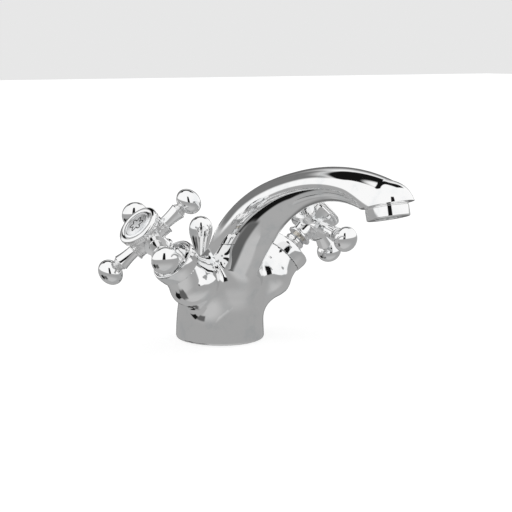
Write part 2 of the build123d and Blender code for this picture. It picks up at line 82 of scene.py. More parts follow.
def add_node(
    tree: bpy.types.NodeTree,
    kind: str,
    settings: Mapping[str, Any] | None = None,
    inputs: Mapping[str | int, Any] | None = None,
) -> bpy.types.Node:
    """Add one node with its settings and links.

    Args:
        tree: the node tree to add to.
        kind: Blender's identifier of the node type.
        settings: attribute names and values.
        inputs: input sockets by name or number, each with a value or an output socket to link.

    Returns:
        The new node.
    """
    node = tree.nodes.new(kind)
    for key, value in (settings or {}).items():
        setattr(node, key, value)
    for key, value in (inputs or {}).items():
        socket = node.inputs[key]
        if isinstance(value, bpy.types.NodeSocket):
            tree.links.new(value, socket)
        else:
            socket.default_value = value
    return node


class Grain(Enum):
    """How a surface was worked, which sets the pattern of its bump."""

    POLISHED = "polished"
    TURNED = "turned"
    MOULDED = "moulded"
    SINTERED = "sintered"


@dataclass(frozen=True)
class Finish:
    """One surface finish.

    Attributes:
        name: name of the material.
        colour: base colour as sRGB hex.
        worn_colour: colour in the rubbed or smudged places.
        metallic: 1 for bare metal, 0 for the rest.
        smooth_roughness: roughness where the surface is clean.
        rough_roughness: roughness in the smudges.
        grain: how the surface was worked.
        grain_mm: size of the finest pattern.
        grain_depth_mm: height of the finest pattern.
        patch_mm: size of the smudges.
        ior: index of refraction of a finish that isn't metal.
        coat: strength of a clear glaze.
    """

    name: str
    colour: str
    worn_colour: str
    metallic: float
    smooth_roughness: float
    rough_roughness: float
    grain: Grain
    grain_mm: float
    grain_depth_mm: float
    patch_mm: float
    ior: float | None = None
    coat: float = 0.0

    def material(self) -> bpy.types.Material:
        """Build the material once and reuse it.

        Returns:
            The Blender material with its node tree.
        """
        known = bpy.data.materials.get(self.name)
        if known is not None:
            return known
        made = bpy.data.materials.new(self.name)
        made.use_nodes = True
        tree = made.node_tree
        tree.nodes.clear()
        place = add_node(tree, "ShaderNodeTexCoord").outputs["Object"]
        patches = add_node(
            tree,
            "ShaderNodeTexNoise",
            {},
            {"Vector": place, "Scale": 1.0 / (self.patch_mm * MM), "Detail": 4.0, "Roughness": 0.6},
        )
        smudge = add_node(
            tree,
            "ShaderNodeMapRange",
            {"interpolation_type": "SMOOTHSTEP"},
            {"Value": patches.outputs["Fac"], "From Min": SMUDGE_RANGE[0], "From Max": SMUDGE_RANGE[1]},
        )
        grain_height = self.grain_height(tree, place)
        spread = add_node(
            tree,
            "ShaderNodeMapRange",
            {},
            {
                "Value": smudge.outputs["Result"],
                "To Min": self.smooth_roughness,
                "To Max": self.rough_roughness,
            },
        )
        tint = add_node(
            tree,
            "ShaderNodeMix",
            {"data_type": "RGBA"},
            {
                "Factor": smudge.outputs["Result"],
                6: linear_colour(self.colour),
                7: linear_colour(self.worn_colour),
            },
        )
        bump = add_node(
            tree,
            "ShaderNodeBump",
            {},
            {"Strength": 1.0, "Distance": self.grain_depth_mm * MM, "Height": grain_height},
        )
        shader = add_node(
            tree,
            "ShaderNodeBsdfPrincipled",
            {},
            {
                "Base Color": tint.outputs[2],
                "Metallic": self.metallic,
                "Roughness": spread.outputs["Result"],
                "Normal": bump.outputs["Normal"],
            },
        )
        if self.ior is not None:
            shader.inputs["IOR"].default_value = self.ior
        if self.coat > 0.0:
            shader.inputs["Coat Weight"].default_value = self.coat
            shader.inputs["Coat Roughness"].default_value = GLAZE_ROUGHNESS
        add_node(tree, "ShaderNodeOutputMaterial", {}, {"Surface": shader.outputs["BSDF"]})
        return made

    def grain_height(
        self, tree: bpy.types.NodeTree, place: bpy.types.NodeSocket
    ) -> bpy.types.NodeSocket:
        """Height pattern of the finest surface marks.

        Args:
            tree: the material's node tree.
            place: coordinates in metres.

        Returns:
            A socket with the height from 0 to 1.
        """
        scale = 1.0 / (self.grain_mm * MM)
        if self.grain is Grain.SINTERED:
            cells = add_node(tree, "ShaderNodeTexVoronoi", {}, {"Vector": place, "Scale": scale})
            return cells.outputs["Distance"]
        if self.grain is Grain.TURNED:
            stretched = add_node(
                tree, "ShaderNodeMapping", {}, {"Vector": place, "Scale": (1.0, 1.0, 6.0)}
            )
            place = stretched.outputs["Vector"]
        noise = add_node(
            tree,
            "ShaderNodeTexNoise",
            {},
            {"Vector": place, "Scale": scale, "Detail": 2.0, "Roughness": 0.5},
        )
        return noise.outputs["Fac"]


# Bright chromium over nickel over cast brass: a mirror with a faint cool tint, a very soft
# orange peel left by buffing, and dried water smears that only dull the gloss a little.
CHROME = Finish(
    name="polished_chrome_plate_on_brass",
    colour="F0F0F0",
    worn_colour="E6E8E9",
    metallic=1.0,
    smooth_roughness=0.03,
    rough_roughness=0.055,
    grain=Grain.POLISHED,
    grain_mm=6.0,
    grain_depth_mm=0.004,
    patch_mm=9.0,
)
# Spun and lacquered white metal: a soft satin white with faint turning marks.
SATIN_DISC = Finish(
    name="satin_chrome_index_disc",
    colour="F2F3F4",
    worn_colour="E6E8EA",
    metallic=1.0,
    smooth_roughness=0.16,
    rough_roughness=0.24,
    grain=Grain.TURNED,
    grain_mm=0.5,
    grain_depth_mm=0.003,
    patch_mm=5.0,
)
# Stoved black enamel flooded into an engraved line, glossy and slightly uneven.
BLACK_ENAMEL = Finish(
    name="stoved_black_enamel",
    colour="141416",
    worn_colour="232326",
    metallic=0.0,
    smooth_roughness=0.22,
    rough_roughness=0.35,
    grain=Grain.MOULDED,
    grain_mm=0.4,
    grain_depth_mm=0.004,
    patch_mm=1.5,
    ior=1.52,
    coat=0.4,
)
# Nickel plated turned brass: a warm grey metal, fine lined, where the handle's stem shows.
NICKEL_BRASS = Finish(
    name="nickel_plated_turned_brass",
    colour="D2CEC6",
    worn_colour="B9B2A4",
    metallic=1.0,
    smooth_roughness=0.22,
    rough_roughness=0.4,
    grain=Grain.TURNED,
    grain_mm=0.35,
    grain_depth_mm=0.008,
    patch_mm=4.0,
)
# Rolled and tumbled spring steel, grey with soft streaks.
SPRING_STEEL = Finish(
    name="tumbled_stainless_steel",
    colour="B9BCBF",
    worn_colour="8F9397",
    metallic=1.0,
    smooth_roughness=0.25,
    rough_roughness=0.42,
    grain=Grain.TURNED,
    grain_mm=0.3,
    grain_depth_mm=0.006,
    patch_mm=2.5,
)
# Lapped alumina: dense white with a faint sparkle of grains.
ALUMINA = Finish(
    name="lapped_alumina_ceramic",
    colour="F1EEE6",
    worn_colour="E2DDD0",
    metallic=0.0,
    smooth_roughness=0.18,
    rough_roughness=0.3,
    grain=Grain.SINTERED,
    grain_mm=0.25,
    grain_depth_mm=0.002,
    patch_mm=3.0,
    ior=1.76,
)
# Moulded nitrile rubber: near black, matt, with a bloom of dust.
RUBBER = Finish(
    name="moulded_nitrile_rubber",
    colour="1B1C1E",
    worn_colour="34363A",
    metallic=0.0,
    smooth_roughness=0.55,
    rough_roughness=0.8,
    grain=Grain.MOULDED,
    grain_mm=0.3,
    grain_depth_mm=0.02,
    patch_mm=2.0,
    ior=1.52,
)
# Moulded acetal: milky grey, slightly waxy, with traces of scale in small random patches.
ACETAL = Finish(
    name="moulded_acetal",
    colour="A9ADB0",
    worn_colour="C9C8C0",
    metallic=0.0,
    smooth_roughness=0.35,
    rough_roughness=0.55,
    grain=Grain.MOULDED,
    grain_mm=0.4,
    grain_depth_mm=0.01,
    patch_mm=1.8,
    ior=1.48,
)

# CAD nodes keep their shape and take these finishes by the end of their name.
NODE_FINISHES: dict[str, Finish] = {
    "body_casting": CHROME,
    "aerator_housing": CHROME,
    "lift_knob": CHROME,
    "lift_rod": CHROME,
    "_bowl": CHROME,
    "_headwork": CHROME,
    "_handle": CHROME,
    "_index_ring": CHROME,
    "_index_disc": SATIN_DISC,
    "_spindle": NICKEL_BRASS,
    "rod_bush": CHROME,
    "_spindle_clip": SPRING_STEEL,
    "_handle_screw": SPRING_STEEL,
    "_moving_disc": ALUMINA,
    "_fixed_disc": ALUMINA,
    "_seat_seal": RUBBER,
    "_flange_seal": RUBBER,
    "_spindle_rings": RUBBER,
    "rod_seal": RUBBER,
    "base_gasket": RUBBER,
    "aerator_washer": RUBBER,
    "aerator_insert": ACETAL,
}
# Degrees that each cross handle is turned about its spindle at rest.
HOT_TURN = -24.6
COLD_TURN = 20.2


# ---------------------------------------------------------------------------- studio
@dataclass(frozen=True)
class Patch:
    """One light or dark area of the studio, as bearings from the object.

    Attributes:
        name: what it is.
        bearing: lowest and highest bearing, degrees, 0 toward the viewer and + to the right.
        height: lowest and highest elevation, degrees.
        level: brightness as seen in a mirror.
        soft: width of its edge in degrees.
    """

    name: str
    bearing: tuple[float, float]
    height: tuple[float, float]
    level: float
    soft: float = 4.0


@dataclass
class Studio:
    """Pale floor, surrounding light and camera.

    Angles are degrees.  The table's level runs from its near value to its deep one between the
    two elevations of table_fall.
    """

    heading: float = -33.7
    elevation: float = 9.3
    distance: float = 742.0
    lens: float = 88.6
    sensor: float = 36.0
    aim_right: float = 21.2
    aim_up: float = 47.11
    near_clip: float = 0.01
    far_clip: float = 50.0
    floor_half: float = 6000.0
    floor_drop: float = 0.4
    floor_glow: float = 1.22
    floor_glow_share: float = 0.62
    horizon_soft: float = 5.0
    table_fall: tuple[float, float] = (-12.0, -60.0)
    wall_level: float = 1.35
    table_level: float = 0.51
    deep_table_level: float = 0.55
    patches: tuple[Patch, ...] = (
        Patch("ceiling gap", (-215.0, -126.0), (33.0, 54.0), 0.01, 4.0),
        Patch("side wall shade", (-165.0, -128.0), (1.0, 31.0), 0.26, 9.0),
        Patch("pale table", (-70.0, 80.0), (-130.0, -36.0), 0.72, 40.0),
        Patch("dark table edge", (-118.0, -84.0), (-46.0, -25.0), 0.01, 6.0),
        Patch("table shade", (-86.0, -46.0), (-58.0, -32.0), 0.16, 9.0),
        Patch("lens gap", (-5.0, 17.0), (-1.0, 56.0), 0.01, 4.0),
        Patch("far wall", (-200.0, -160.0), (-34.0, 24.0), 0.2, 18.0),
    )

    def direction_angles(
        self, tree: bpy.types.NodeTree
    ) -> tuple[bpy.types.NodeSocket, bpy.types.NodeSocket]:
        """Bearing and elevation, in degrees, of the direction that a ray leaves in.

        Bearing is the arctangent of the parts of the direction to the right of the viewer and
        toward the viewer; elevation is the arcsine of its upward part.

        Args:
            tree: the world's node tree.

        Returns:
            Sockets with bearing and elevation.
        """
        ray = add_node(tree, "ShaderNodeTexCoord").outputs["Generated"]
        turn = math.radians(self.heading)
        toward = add_node(
            tree,
            "ShaderNodeVectorMath",
            {"operation": "DOT_PRODUCT"},
            {0: ray, 1: (math.sin(turn), -math.cos(turn), 0.0)},
        )
        across = add_node(
            tree,
            "ShaderNodeVectorMath",
            {"operation": "DOT_PRODUCT"},
            {0: ray, 1: (math.cos(turn), math.sin(turn), 0.0)},
        )
        upward = add_node(
            tree, "ShaderNodeVectorMath", {"operation": "DOT_PRODUCT"}, {0: ray, 1: (0.0, 0.0, 1.0)}
        )
        bearing = add_node(
            tree,
            "ShaderNodeMath",
            {"operation": "ARCTAN2"},
            {0: across.outputs["Value"], 1: toward.outputs["Value"]},
        )
        height = add_node(tree, "ShaderNodeMath", {"operation": "ARCSINE"}, {0: upward.outputs["Value"]})
        degrees = []
        for angle in (bearing, height):
            scaled = add_node(
                tree, "ShaderNodeMath", {"operation": "DEGREES"}, {0: angle.outputs["Value"]}
            )
            degrees.append(scaled.outputs["Value"])
        return degrees[0], degrees[1]

    def edge(
        self, tree: bpy.types.NodeTree, angle: bpy.types.NodeSocket, at: float, soft: float, rising: bool
    ) -> bpy.types.NodeSocket:
        """Soft step of an angle.

        Args:
            tree: the world's node tree.
            angle: the angle in degrees.
            at: middle of the step.
            soft: width of the step.
            rising: whether the step goes up with the angle.

        Returns:
            A socket from 0 to 1.
        """
        low, high = (0.0, 1.0) if rising else (1.0, 0.0)
        step = add_node(
            tree,
            "ShaderNodeMapRange",
            {"interpolation_type": "SMOOTHSTEP"},
            {
                "Value": angle,
                "From Min": at - soft / 2,
                "From Max": at + soft / 2,
                "To Min": low,
                "To Max": high,
            },
        )
        return step.outputs["Result"]

    def product(
        self, tree: bpy.types.NodeTree, first: bpy.types.NodeSocket, second: bpy.types.NodeSocket
    ) -> bpy.types.NodeSocket:
        """Product of two sockets."""
        made = add_node(tree, "ShaderNodeMath", {"operation": "MULTIPLY"}, {0: first, 1: second})
        return made.outputs[0]

    def surroundings(self) -> None:
        """World light: pale walls, grey table and the named patches, white behind the object."""
        world = bpy.data.worlds.new("studio")
        bpy.context.scene.world = world
        world.use_nodes = True
        tree = world.node_tree
        tree.nodes.clear()
        bearing, height = self.direction_angles(tree)
        above = self.edge(tree, height, 0.0, self.horizon_soft, True)
        table = add_node(
            tree,
            "ShaderNodeMapRange",
            {"interpolation_type": "SMOOTHSTEP"},
            {
                "Value": height,
                "From Min": self.table_fall[0],
                "From Max": self.table_fall[1],
                "To Min": self.table_level,
                "To Max": self.deep_table_level,
            },
        ).outputs["Result"]
        level = add_node(
            tree, "ShaderNodeMix", {"data_type": "FLOAT"}, {"Factor": above, 2: table, 3: self.wall_level}
        ).outputs[0]
        for patch in self.patches:
            shifts = (0.0,) if patch.bearing[0] >= -180.0 else (0.0, 360.0)
            for shift in shifts:
                mask = self.edge(tree, bearing, patch.bearing[0] + shift, patch.soft, True)
                far = self.edge(tree, bearing, patch.bearing[1] + shift, patch.soft, False)
                mask = self.product(tree, mask, far)
                for at, rising in ((patch.height[0], True), (patch.height[1], False)):
                    mask = self.product(tree, mask, self.edge(tree, height, at, patch.soft, rising))
                level = add_node(
                    tree,
                    "ShaderNodeMix",
                    {"data_type": "FLOAT"},
                    {"Factor": mask, 2: level, 3: patch.level},
                ).outputs[0]
        straight = add_node(tree, "ShaderNodeLightPath").outputs["Is Camera Ray"]
        seen = add_node(
            tree, "ShaderNodeMix", {"data_type": "FLOAT"}, {"Factor": straight, 2: level, 3: 1.0}
        ).outputs[0]
        light = add_node(tree, "ShaderNodeBackground", {}, {"Strength": seen})
        add_node(tree, "ShaderNodeOutputWorld", {}, {"Surface": light.outputs["Background"]})

    def floor(self) -> None:
        """Pale floor just under the base, with a soft contact shadow."""
        half = self.floor_half * MM
        mesh = bpy.data.meshes.new("floor")
        corners = [(-half, -half, 0.0), (half, -half, 0.0), (half, half, 0.0), (-half, half, 0.0)]
        mesh.from_pydata(corners, [], [(0, 1, 2, 3)])
        sheet = bpy.data.objects.new("floor", mesh)
        bpy.context.scene.collection.objects.link(sheet)
        sheet.location.z = -self.floor_drop * MM
        sheet.visible_glossy = False
        paint = bpy.data.materials.new("pale_floor")
        paint.use_nodes = True
        tree = paint.node_tree
        tree.nodes.clear()
        matt = add_node(tree, "ShaderNodeBsdfDiffuse", {}, {"Color": linear_colour("F4F4F4")})
        glow = add_node(
            tree,
            "ShaderNodeEmission",
            {},
            {"Color": linear_colour("FFFFFF"), "Strength": self.floor_glow},
        )
        both = add_node(
            tree,
            "ShaderNodeMixShader",
            {},
            {0: self.floor_glow_share, 1: matt.outputs["BSDF"], 2: glow.outputs["Emission"]},
        )
        add_node(tree, "ShaderNodeOutputMaterial", {}, {"Surface": both.outputs["Shader"]})
        mesh.materials.append(paint)

    def camera(self) -> None:
        """Camera at the product's usual three quarter view."""
        turn = math.radians(self.heading)
        tilt = math.radians(self.elevation)
        level, rise = math.cos(tilt), math.sin(tilt)
        back = Vector((math.sin(turn) * level, -math.cos(turn) * level, rise))
        right = Vector((math.cos(turn), math.sin(turn), 0.0))
        up = Vector((-math.sin(turn) * rise, math.cos(turn) * rise, level))
        data = bpy.data.cameras.new("camera")
        data.lens = self.lens
        data.sensor_width = self.sensor
        data.clip_start = self.near_clip
        data.clip_end = self.far_clip
        eye = bpy.data.objects.new("camera", data)
        bpy.context.scene.collection.objects.link(eye)
        aim = right * (self.aim_right * MM) + up * (self.aim_up * MM)
        eye.location = aim + back * (self.distance * MM)
        eye.rotation_mode = "QUATERNION"
        eye.rotation_quaternion = (-back).to_track_quat("-Z", "Y")
        bpy.context.scene.camera = eye

    def build(self) -> None:
        """Set up everything that isn't the object."""
        bpy.context.scene.view_settings.view_transform = "Standard"
        self.surroundings()
        self.floor()
        self.camera()
        LOG.info("studio ready")


# ---------------------------------------------------------------------------- surfaces
def eased(
    corners: Sequence[tuple[float, float, float]], closed: bool = False, steps: int = 6
) -> np.ndarray:
    """Profile whose corners are rounded.

    Each corner is replaced by a parabola that starts and ends at the corner's easing distance
    from it, or at just under half of the shorter neighbouring run.

    Args:
        corners: radius, height and easing distance of each corner.
        closed: whether the last corner joins the first.
        steps: points on each rounded corner.

    Returns:
        Array of radius and height rows.
    """
    table = np.asarray(corners, float)
    place, ease = table[:, :2], table[:, 2]
    before = np.roll(place, 1, axis=0) - place
    after = np.roll(place, -1, axis=0) - place
    before_length = np.linalg.norm(before, axis=1)
    after_length = np.linalg.norm(after, axis=1)
    cut = np.minimum(ease, RUN_SHARE * np.minimum(before_length, after_length))
    if not closed:
        cut[[0, -1]] = 0.0
    start = place + before / before_length[:, None] * cut[:, None]
    end = place + after / after_length[:, None] * cut[:, None]
    t = np.linspace(0.0, 1.0, steps)[None, :, None]
    arcs = (1 - t) ** 2 * start[:, None] + 2 * t * (1 - t) * place[:, None]
    arcs = arcs + t**2 * end[:, None]
    line = arcs.reshape(-1, 2)
    keep = np.ones(len(line), bool)
    keep[1:] = np.linalg.norm(np.diff(line, axis=0), axis=1) > SAME_POINT
    line = line[keep]
    if closed and np.linalg.norm(line[0] - line[-1]) < SAME_POINT:
        line = line[:-1]
    return line


def flowing(points: Sequence[Sequence[float]], count: int) -> np.ndarray:
    """Smooth curve through points.

    Piecewise cubic whose slope at a point is the run between its neighbours over their
    distance, evaluated evenly by chord length.

    Args:
        points: rows to pass through.
        count: number of rows to return.

    Returns:
        Array with count rows.
    """
    knots = np.asarray(points, float)
    chord = np.linalg.norm(np.diff(knots[:, :2], axis=0), axis=1)
    at = np.concatenate(([0.0], np.cumsum(chord)))
    slopes = np.gradient(knots, at, axis=0, edge_order=2)
    want = np.linspace(0.0, at[-1], count)
    cell = np.clip(np.searchsorted(at, want, side="right") - 1, 0, len(chord) - 1)
    width = chord[cell][:, None]
    u = (want - at[cell])[:, None] / width
    first = (1 + 2 * u) * (1 - u) ** 2 * knots[cell] + u * (1 - u) ** 2 * width * slopes[cell]
    second = u**2 * (3 - 2 * u) * knots[cell + 1] + u**2 * (u - 1) * width * slopes[cell + 1]
    return first + second


def turned(profile: np.ndarray, around: int) -> np.ndarray:
    """Surface of revolution: a profile point at radius r and height h makes a circle r at h.

    Args:
        profile: rows of radius and height.
        around: points round the axis.

    Returns:
        Grid of points, profile by angle by three.
    """
    angle = np.linspace(0.0, FULL_TURN, around, endpoint=False)
    radius, height = profile[:, 0, None], profile[:, 1, None]
    level = np.broadcast_to(height, (len(profile), around))
    return np.stack([radius * np.cos(angle), radius * np.sin(angle), level], axis=-1)


def smoothstep(value: np.ndarray) -> np.ndarray:
    """Cubic ease from 0 to 1."""
    held = np.clip(value, 0.0, 1.0)
    return held * held * (3.0 - 2.0 * held)


def blended_minimum(first: np.ndarray, second: np.ndarray, width: np.ndarray | float) -> np.ndarray:
    """Lower of two fields with a parabolic blend of the given width where they cross."""
    mix = np.clip(0.5 + 0.5 * (second - first) / width, 0.0, 1.0)
    return second + (first - second) * mix - width * mix * (1.0 - mix)


@dataclass(frozen=True)
class Seat:
    """Place and direction of a piece.

    Attributes:
        origin: millimetres in the frame.
        axes: rows are the piece's own X, Y and Z directions.
    """

    origin: np.ndarray
    axes: np.ndarray

    def place(self, points: np.ndarray) -> np.ndarray:
        """Metres in the frame: the origin plus each own coordinate along its axis."""
        return (self.origin + points @ self.axes) * MM

    def local(self, points: np.ndarray) -> np.ndarray:
        """Own coordinates of millimetre points of the frame."""
        return (points - self.origin) @ self.axes.T

    def along(self, angle: float) -> "Seat":
        """Seat whose Z lies across this one's.

        Args:
            angle: degrees from this seat's X to the new Z.

        Returns:
            The seat, with its X along this one's Z.
        """
        turn = math.radians(angle)
        ahead = math.cos(turn) * self.axes[0] + math.sin(turn) * self.axes[1]
        return Seat(self.origin, np.array([self.axes[2], np.cross(ahead, self.axes[2]), ahead]))

    def spun(self, angle: float) -> "Seat":
        """Seat turned about its own Z.

        Args:
            angle: degrees of the turn.

        Returns:
            The turned seat.
        """
        turn = math.radians(angle)
        ahead = math.cos(turn) * self.axes[0] + math.sin(turn) * self.axes[1]
        return Seat(self.origin, np.array([ahead, np.cross(self.axes[2], ahead), self.axes[2]]))


UPRIGHT = Seat(np.zeros(3), np.eye(3))


class Shell:
    """Closed surfaces that make one piece."""

    def __init__(self, name: str) -> None:
        """Start an empty piece.

        Args:
            name: name of the mesh and its object.
        """
        self.name = name
        self.points: list[np.ndarray] = []
        self.faces: list[list[int]] = []
        self.count = 0

    def add(self, points: np.ndarray, faces: Sequence[np.ndarray]) -> None:
        """Add one closed surface and make its faces point outwards.

        The volume is a sixth of the sum of each triangle's triple product; a negative one
        means that the faces point inwards, and they are reversed.

        Args:
            points: rows in metres.
            faces: arrays of triangles or quads as point numbers.
        """
        volume = 0.0
        centred = points - points.mean(axis=0)
        for group in faces:
            for corner in range(1, group.shape[1] - 1):
                a, b, c = (centred[group[:, k]] for k in (0, corner, corner + 1))
                volume += float(np.einsum("ij,ij->i", a, np.cross(b, c)).sum())
        for group in faces:
            ordered = group[:, ::-1] if volume < 0 else group
            self.faces.extend((ordered + self.count).tolist())
        self.points.append(points)
        self.count += len(points)

    def add_turned(self, grid: np.ndarray, seat: Seat, ring: bool = False) -> None:
        """Add a grid that closes round its second direction.

        Args:
            grid: points in the piece's own millimetres.
            seat: where the piece sits.
            ring: the first direction closes too; otherwise its ends are poles.
        """
        columns = grid.shape[1]
        body = grid if ring else grid[1:-1]
        kept = len(body)
        index = np.arange(kept * columns).reshape(kept, columns)
        lower = index if ring else index[:-1]
        upper = np.roll(index, -1, axis=0) if ring else index[1:]
        corners = [lower, np.roll(lower, -1, 1), np.roll(upper, -1, 1), upper]
        points = body.reshape(-1, 3)
        groups = [np.stack(corners, axis=-1).reshape(-1, 4)]
        if not ring:
            poles = np.array([grid[0].mean(axis=0), grid[-1].mean(axis=0)])
            points = np.vstack([points, poles])
            first, last = index[0], index[-1]
            top = np.full(columns, kept * columns)
            groups.append(np.stack([top, np.roll(first, -1), first], axis=-1))
            groups.append(np.stack([top + 1, last, np.roll(last, -1)], axis=-1))
        self.add(seat.place(points), groups)

    def finish(self, crease: float = 35.0) -> bpy.types.Object:
        """Make the mesh object, smooth except at sharp edges.

        Args:
            crease: degrees past which an edge is sharp.

        Returns:
            The linked object, at the origin.
        """
        mesh = bpy.data.meshes.new(self.name)
        mesh.from_pydata(np.vstack(self.points).tolist(), [], self.faces)
        mesh.polygons.foreach_set("use_smooth", np.ones(len(mesh.polygons), bool))
        mesh.set_sharp_from_angle(angle=math.radians(crease))
        mesh.update()
        made = bpy.data.objects.new(self.name, mesh)
        bpy.context.scene.collection.objects.link(made)
        return made


def fit_out(
    piece: bpy.types.Object, finish: Finish, body: str, stands_for: Sequence[str] = ()
) -> bpy.types.Object:
    """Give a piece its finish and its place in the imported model.

    Args:
        piece: the mesh object.
        finish: its finish.
        body: the body that it moves with.
        stands_for: names of the CAD nodes that it replaces.

    Returns:
        The same piece.
    """
    piece.data.materials.append(finish.material())
    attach(piece, body)
    if stands_for:
        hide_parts(*stands_for)
    return piece


# ---------------------------------------------------------------------------- main casting
@dataclass
class Casting:
    """Skirt, dome, spout and horns as one smooth skin, with its machined openings.

    The fields that end in from_to are the y values between which an effect grows to its full
    size along the spout.
    """

    horn_seats: tuple[Seat, Seat]
    cell: float = 1.2
    box_low: tuple[float, float, float] = (-48.0, -170.0, -3.0)
    box_high: tuple[float, float, float] = (48.0, 30.0, 112.0)
    ease_rounds: int = 4
    slope_step: float = 0.02
    skin_nearness: float = 0.06
    skin_facing: float = 0.8
    # y, z, half width, half depth of the spout's sections
    stations: tuple[tuple[float, float, float, float], ...] = (
        (1.2, 8.0, 12.0, 14.0), (-1.2, 21.0, 12.4, 15.4), (-5.6, 32.0, 13.0, 17.0),
        (-11.6, 43.0, 14.0, 17.6), (-21.0, 56.0, 14.8, 17.6), (-36.4, 71.2, 14.2, 15.4),
        (-51.0, 81.4, 12.9, 13.1), (-64.5, 88.1, 12.1, 11.3), (-79.0, 93.5, 11.5, 9.8),
        (-94.0, 97.3, 11.2, 9.1), (-109.0, 99.4, 11.2, 8.8), (-123.0, 99.8, 11.6, 8.8),
        (-136.0, 98.6, 12.0, 9.0), (-149.0, 96.2, 12.2, 9.2), (-161.0, 93.0, 12.2, 9.3),
        (-173.0, 88.8, 12.2, 9.3),
    )
    upright_from_to: tuple[float, float] = (-143.0, -150.0)
    drop_from_to: tuple[float, float] = (-130.0, -153.0)
    drop: float = 3.4
    # z, half width, half depth, middle y of the skirt
    skirt: tuple[tuple[float, float, float, float], ...] = (
        (-14.0, 25.6, 26.8, 0.0), (0.0, 25.5, 26.6, 0.0), (10.0, 25.2, 26.1, 0.0),
        (20.0, 24.8, 25.2, -1.0), (28.0, 24.8, 24.6, -3.4), (36.0, 24.8, 24.2, -6.6),
        (44.0, 24.8, 24.0, -8.8), (56.0, 24.8, 24.0, -9.6),
    )
    dome_base: float = 25.0
    dome_rise: float = 32.0
    # depth down the valve axis and radius of a horn
    horn: tuple[tuple[float, float], ...] = (
        (-24.0, 12.4), (-31.0, 12.45), (-34.5, 13.3), (-38.0, 14.8), (-41.3, 15.4), (-45.0, 14.8),
        (-49.5, 13.2), (-54.5, 12.4), (-64.0, 12.2),
    )
    horn_end: float = -27.0
    root_blend: float = 2.6
    root_sweep: float = 3.0
    root_height: float = 38.0
    root_middle: float = -12.5
    root_fade: float = 16.0
    root_spread: float = 9.0
    horn_root: float = -61.0
    outlet: tuple[float, float] = (-150.8, 93.0)
    outlet_tilt: float = 15.0
    nose_forward: float = 2.8
    nose_fullness: float = 2.2
    foot_round: float = 1.6
    spout_blend: float = 2.5
    rim_round: float = 0.8
    # limits that keep the spout's field to the spout
    field_floor: float = -12.0
    flat_depth: float = 6.0
    free_depth: float = 50.0
    end_slack: float = 0.5
    end_reach: float = 60.0
    side_softening: float = 1e-3
    depth_softening: float = 1e-6
    samples: int = 1200
    coarse_step: int = 8
    refine_rounds: int = 8
    refine_share: float = 0.85
    batch: int = 20000
    # x, y, radius and depth of the inlets and the stud hole
    deck_holes: tuple[tuple[float, float, float, float], ...] = (
        (9.0, 4.0, 5.0, 12.0), (-9.0, 4.0, 5.0, 12.0), (0.0, -6.5, 4.0, 14.0),
    )
    hole_chamfer: float = 0.6
    # radius and height corners of the other openings
    outlet_cut: tuple[tuple[float, float], ...] = (
        (0, -16), (34, -16), (34, 0), (9.32, 0), (9.32, 6.0), (0, 6.0),
    )
    rod_bore: tuple[tuple[float, float], ...] = (
        (0, -2), (2.5, -2), (2.5, 12), (3.42, 12), (3.42, 27.48), (4.9, 27.48), (4.9, 40), (0, 40),
    )
    rod_y: float = 21.0
    wide_points: int = 96
    hole_points: int = 48
    valve_points: int = 64
    table_rows: int = 200
    gasket_groove: tuple[tuple[float, float], ...] = ((15.4, -1), (17.8, -1), (17.8, 1.2), (15.4, 1.2))
    valve_hollow: tuple[tuple[float, float], ...] = ((0, -20), (8.32, -20), (8.32, -46.5), (0, -46.5))
    path: dict[str, np.ndarray] = field(default_factory=dict)

    def tip_seat(self, forward: float) -> Seat:
        """Seat on the flat under the spout tip, its Z up into the spout.

        Args:
            forward: millimetres from the outlet's axis toward the front.

        Returns:
            The seat, with its Y toward the base.
        """
        tilt = math.radians(self.outlet_tilt)
        ahead = np.array([0.0, -math.cos(tilt), math.sin(tilt)])
        rise = np.array([0.0, math.sin(tilt), math.cos(tilt)])
        origin = np.array([0.0, self.outlet[0], self.outlet[1]]) + forward * ahead
        return Seat(origin, np.array([[1.0, 0.0, 0.0], -ahead, rise]))

    def prepare(self) -> None:
        """Sample the spout's middle line with its tangents and section sizes."""
        line = flowing(self.stations, self.samples)
        lengths = np.linalg.norm(np.diff(line[:, :2], axis=0), axis=1)
        run = np.concatenate(([0.0], np.cumsum(lengths)))
        tangent = np.gradient(line[:, :2], run, axis=0)
        tangent /= np.linalg.norm(tangent, axis=1)[:, None]
        self.path = {"run": run, "line": line, "tangent": tangent}

    def nearest(self, y: np.ndarray, z: np.ndarray) -> tuple[np.ndarray, np.ndarray, np.ndarray]:
        """Nearest places on the middle line: the closest coarse sample, then moved along the tangent.

        Args:
            y: millimetres to the back, flat.
            z: millimetres up, flat.

        Returns:
            Length along the line, offset from the line and tangent at each point.
        """
        flat = np.stack([y, z], axis=1)
        run, line, tangent = self.path["run"], self.path["line"], self.path["tangent"]
        coarse = slice(0, None, self.coarse_step)
        close = [
            np.argmin((part[:, :1] - line[coarse, 0]) ** 2 + (part[:, 1:] - line[coarse, 1]) ** 2, axis=1)
            for part in np.array_split(flat, max(1, len(flat) // self.batch))
        ]
        at = run[coarse][np.concatenate(close)]
        for _ in range(self.refine_rounds):
            offset = flat - self.sampled(at, line[:, :2])
            ahead = self.sampled(at, tangent)
            at = np.clip(at + self.refine_share * (offset * ahead).sum(axis=1), 0.0, run[-1])
        return at, flat - self.sampled(at, line[:, :2]), self.sampled(at, tangent)

    def grown(self, reached: np.ndarray, from_to: tuple[float, float]) -> np.ndarray:
        """Share from 0 to 1 of an effect that grows between two y values of the middle line."""
        first, last = (np.interp(-v, -self.path["line"][:, 0], self.path["run"]) for v in from_to)
        return smoothstep((reached - first) / (last - first))

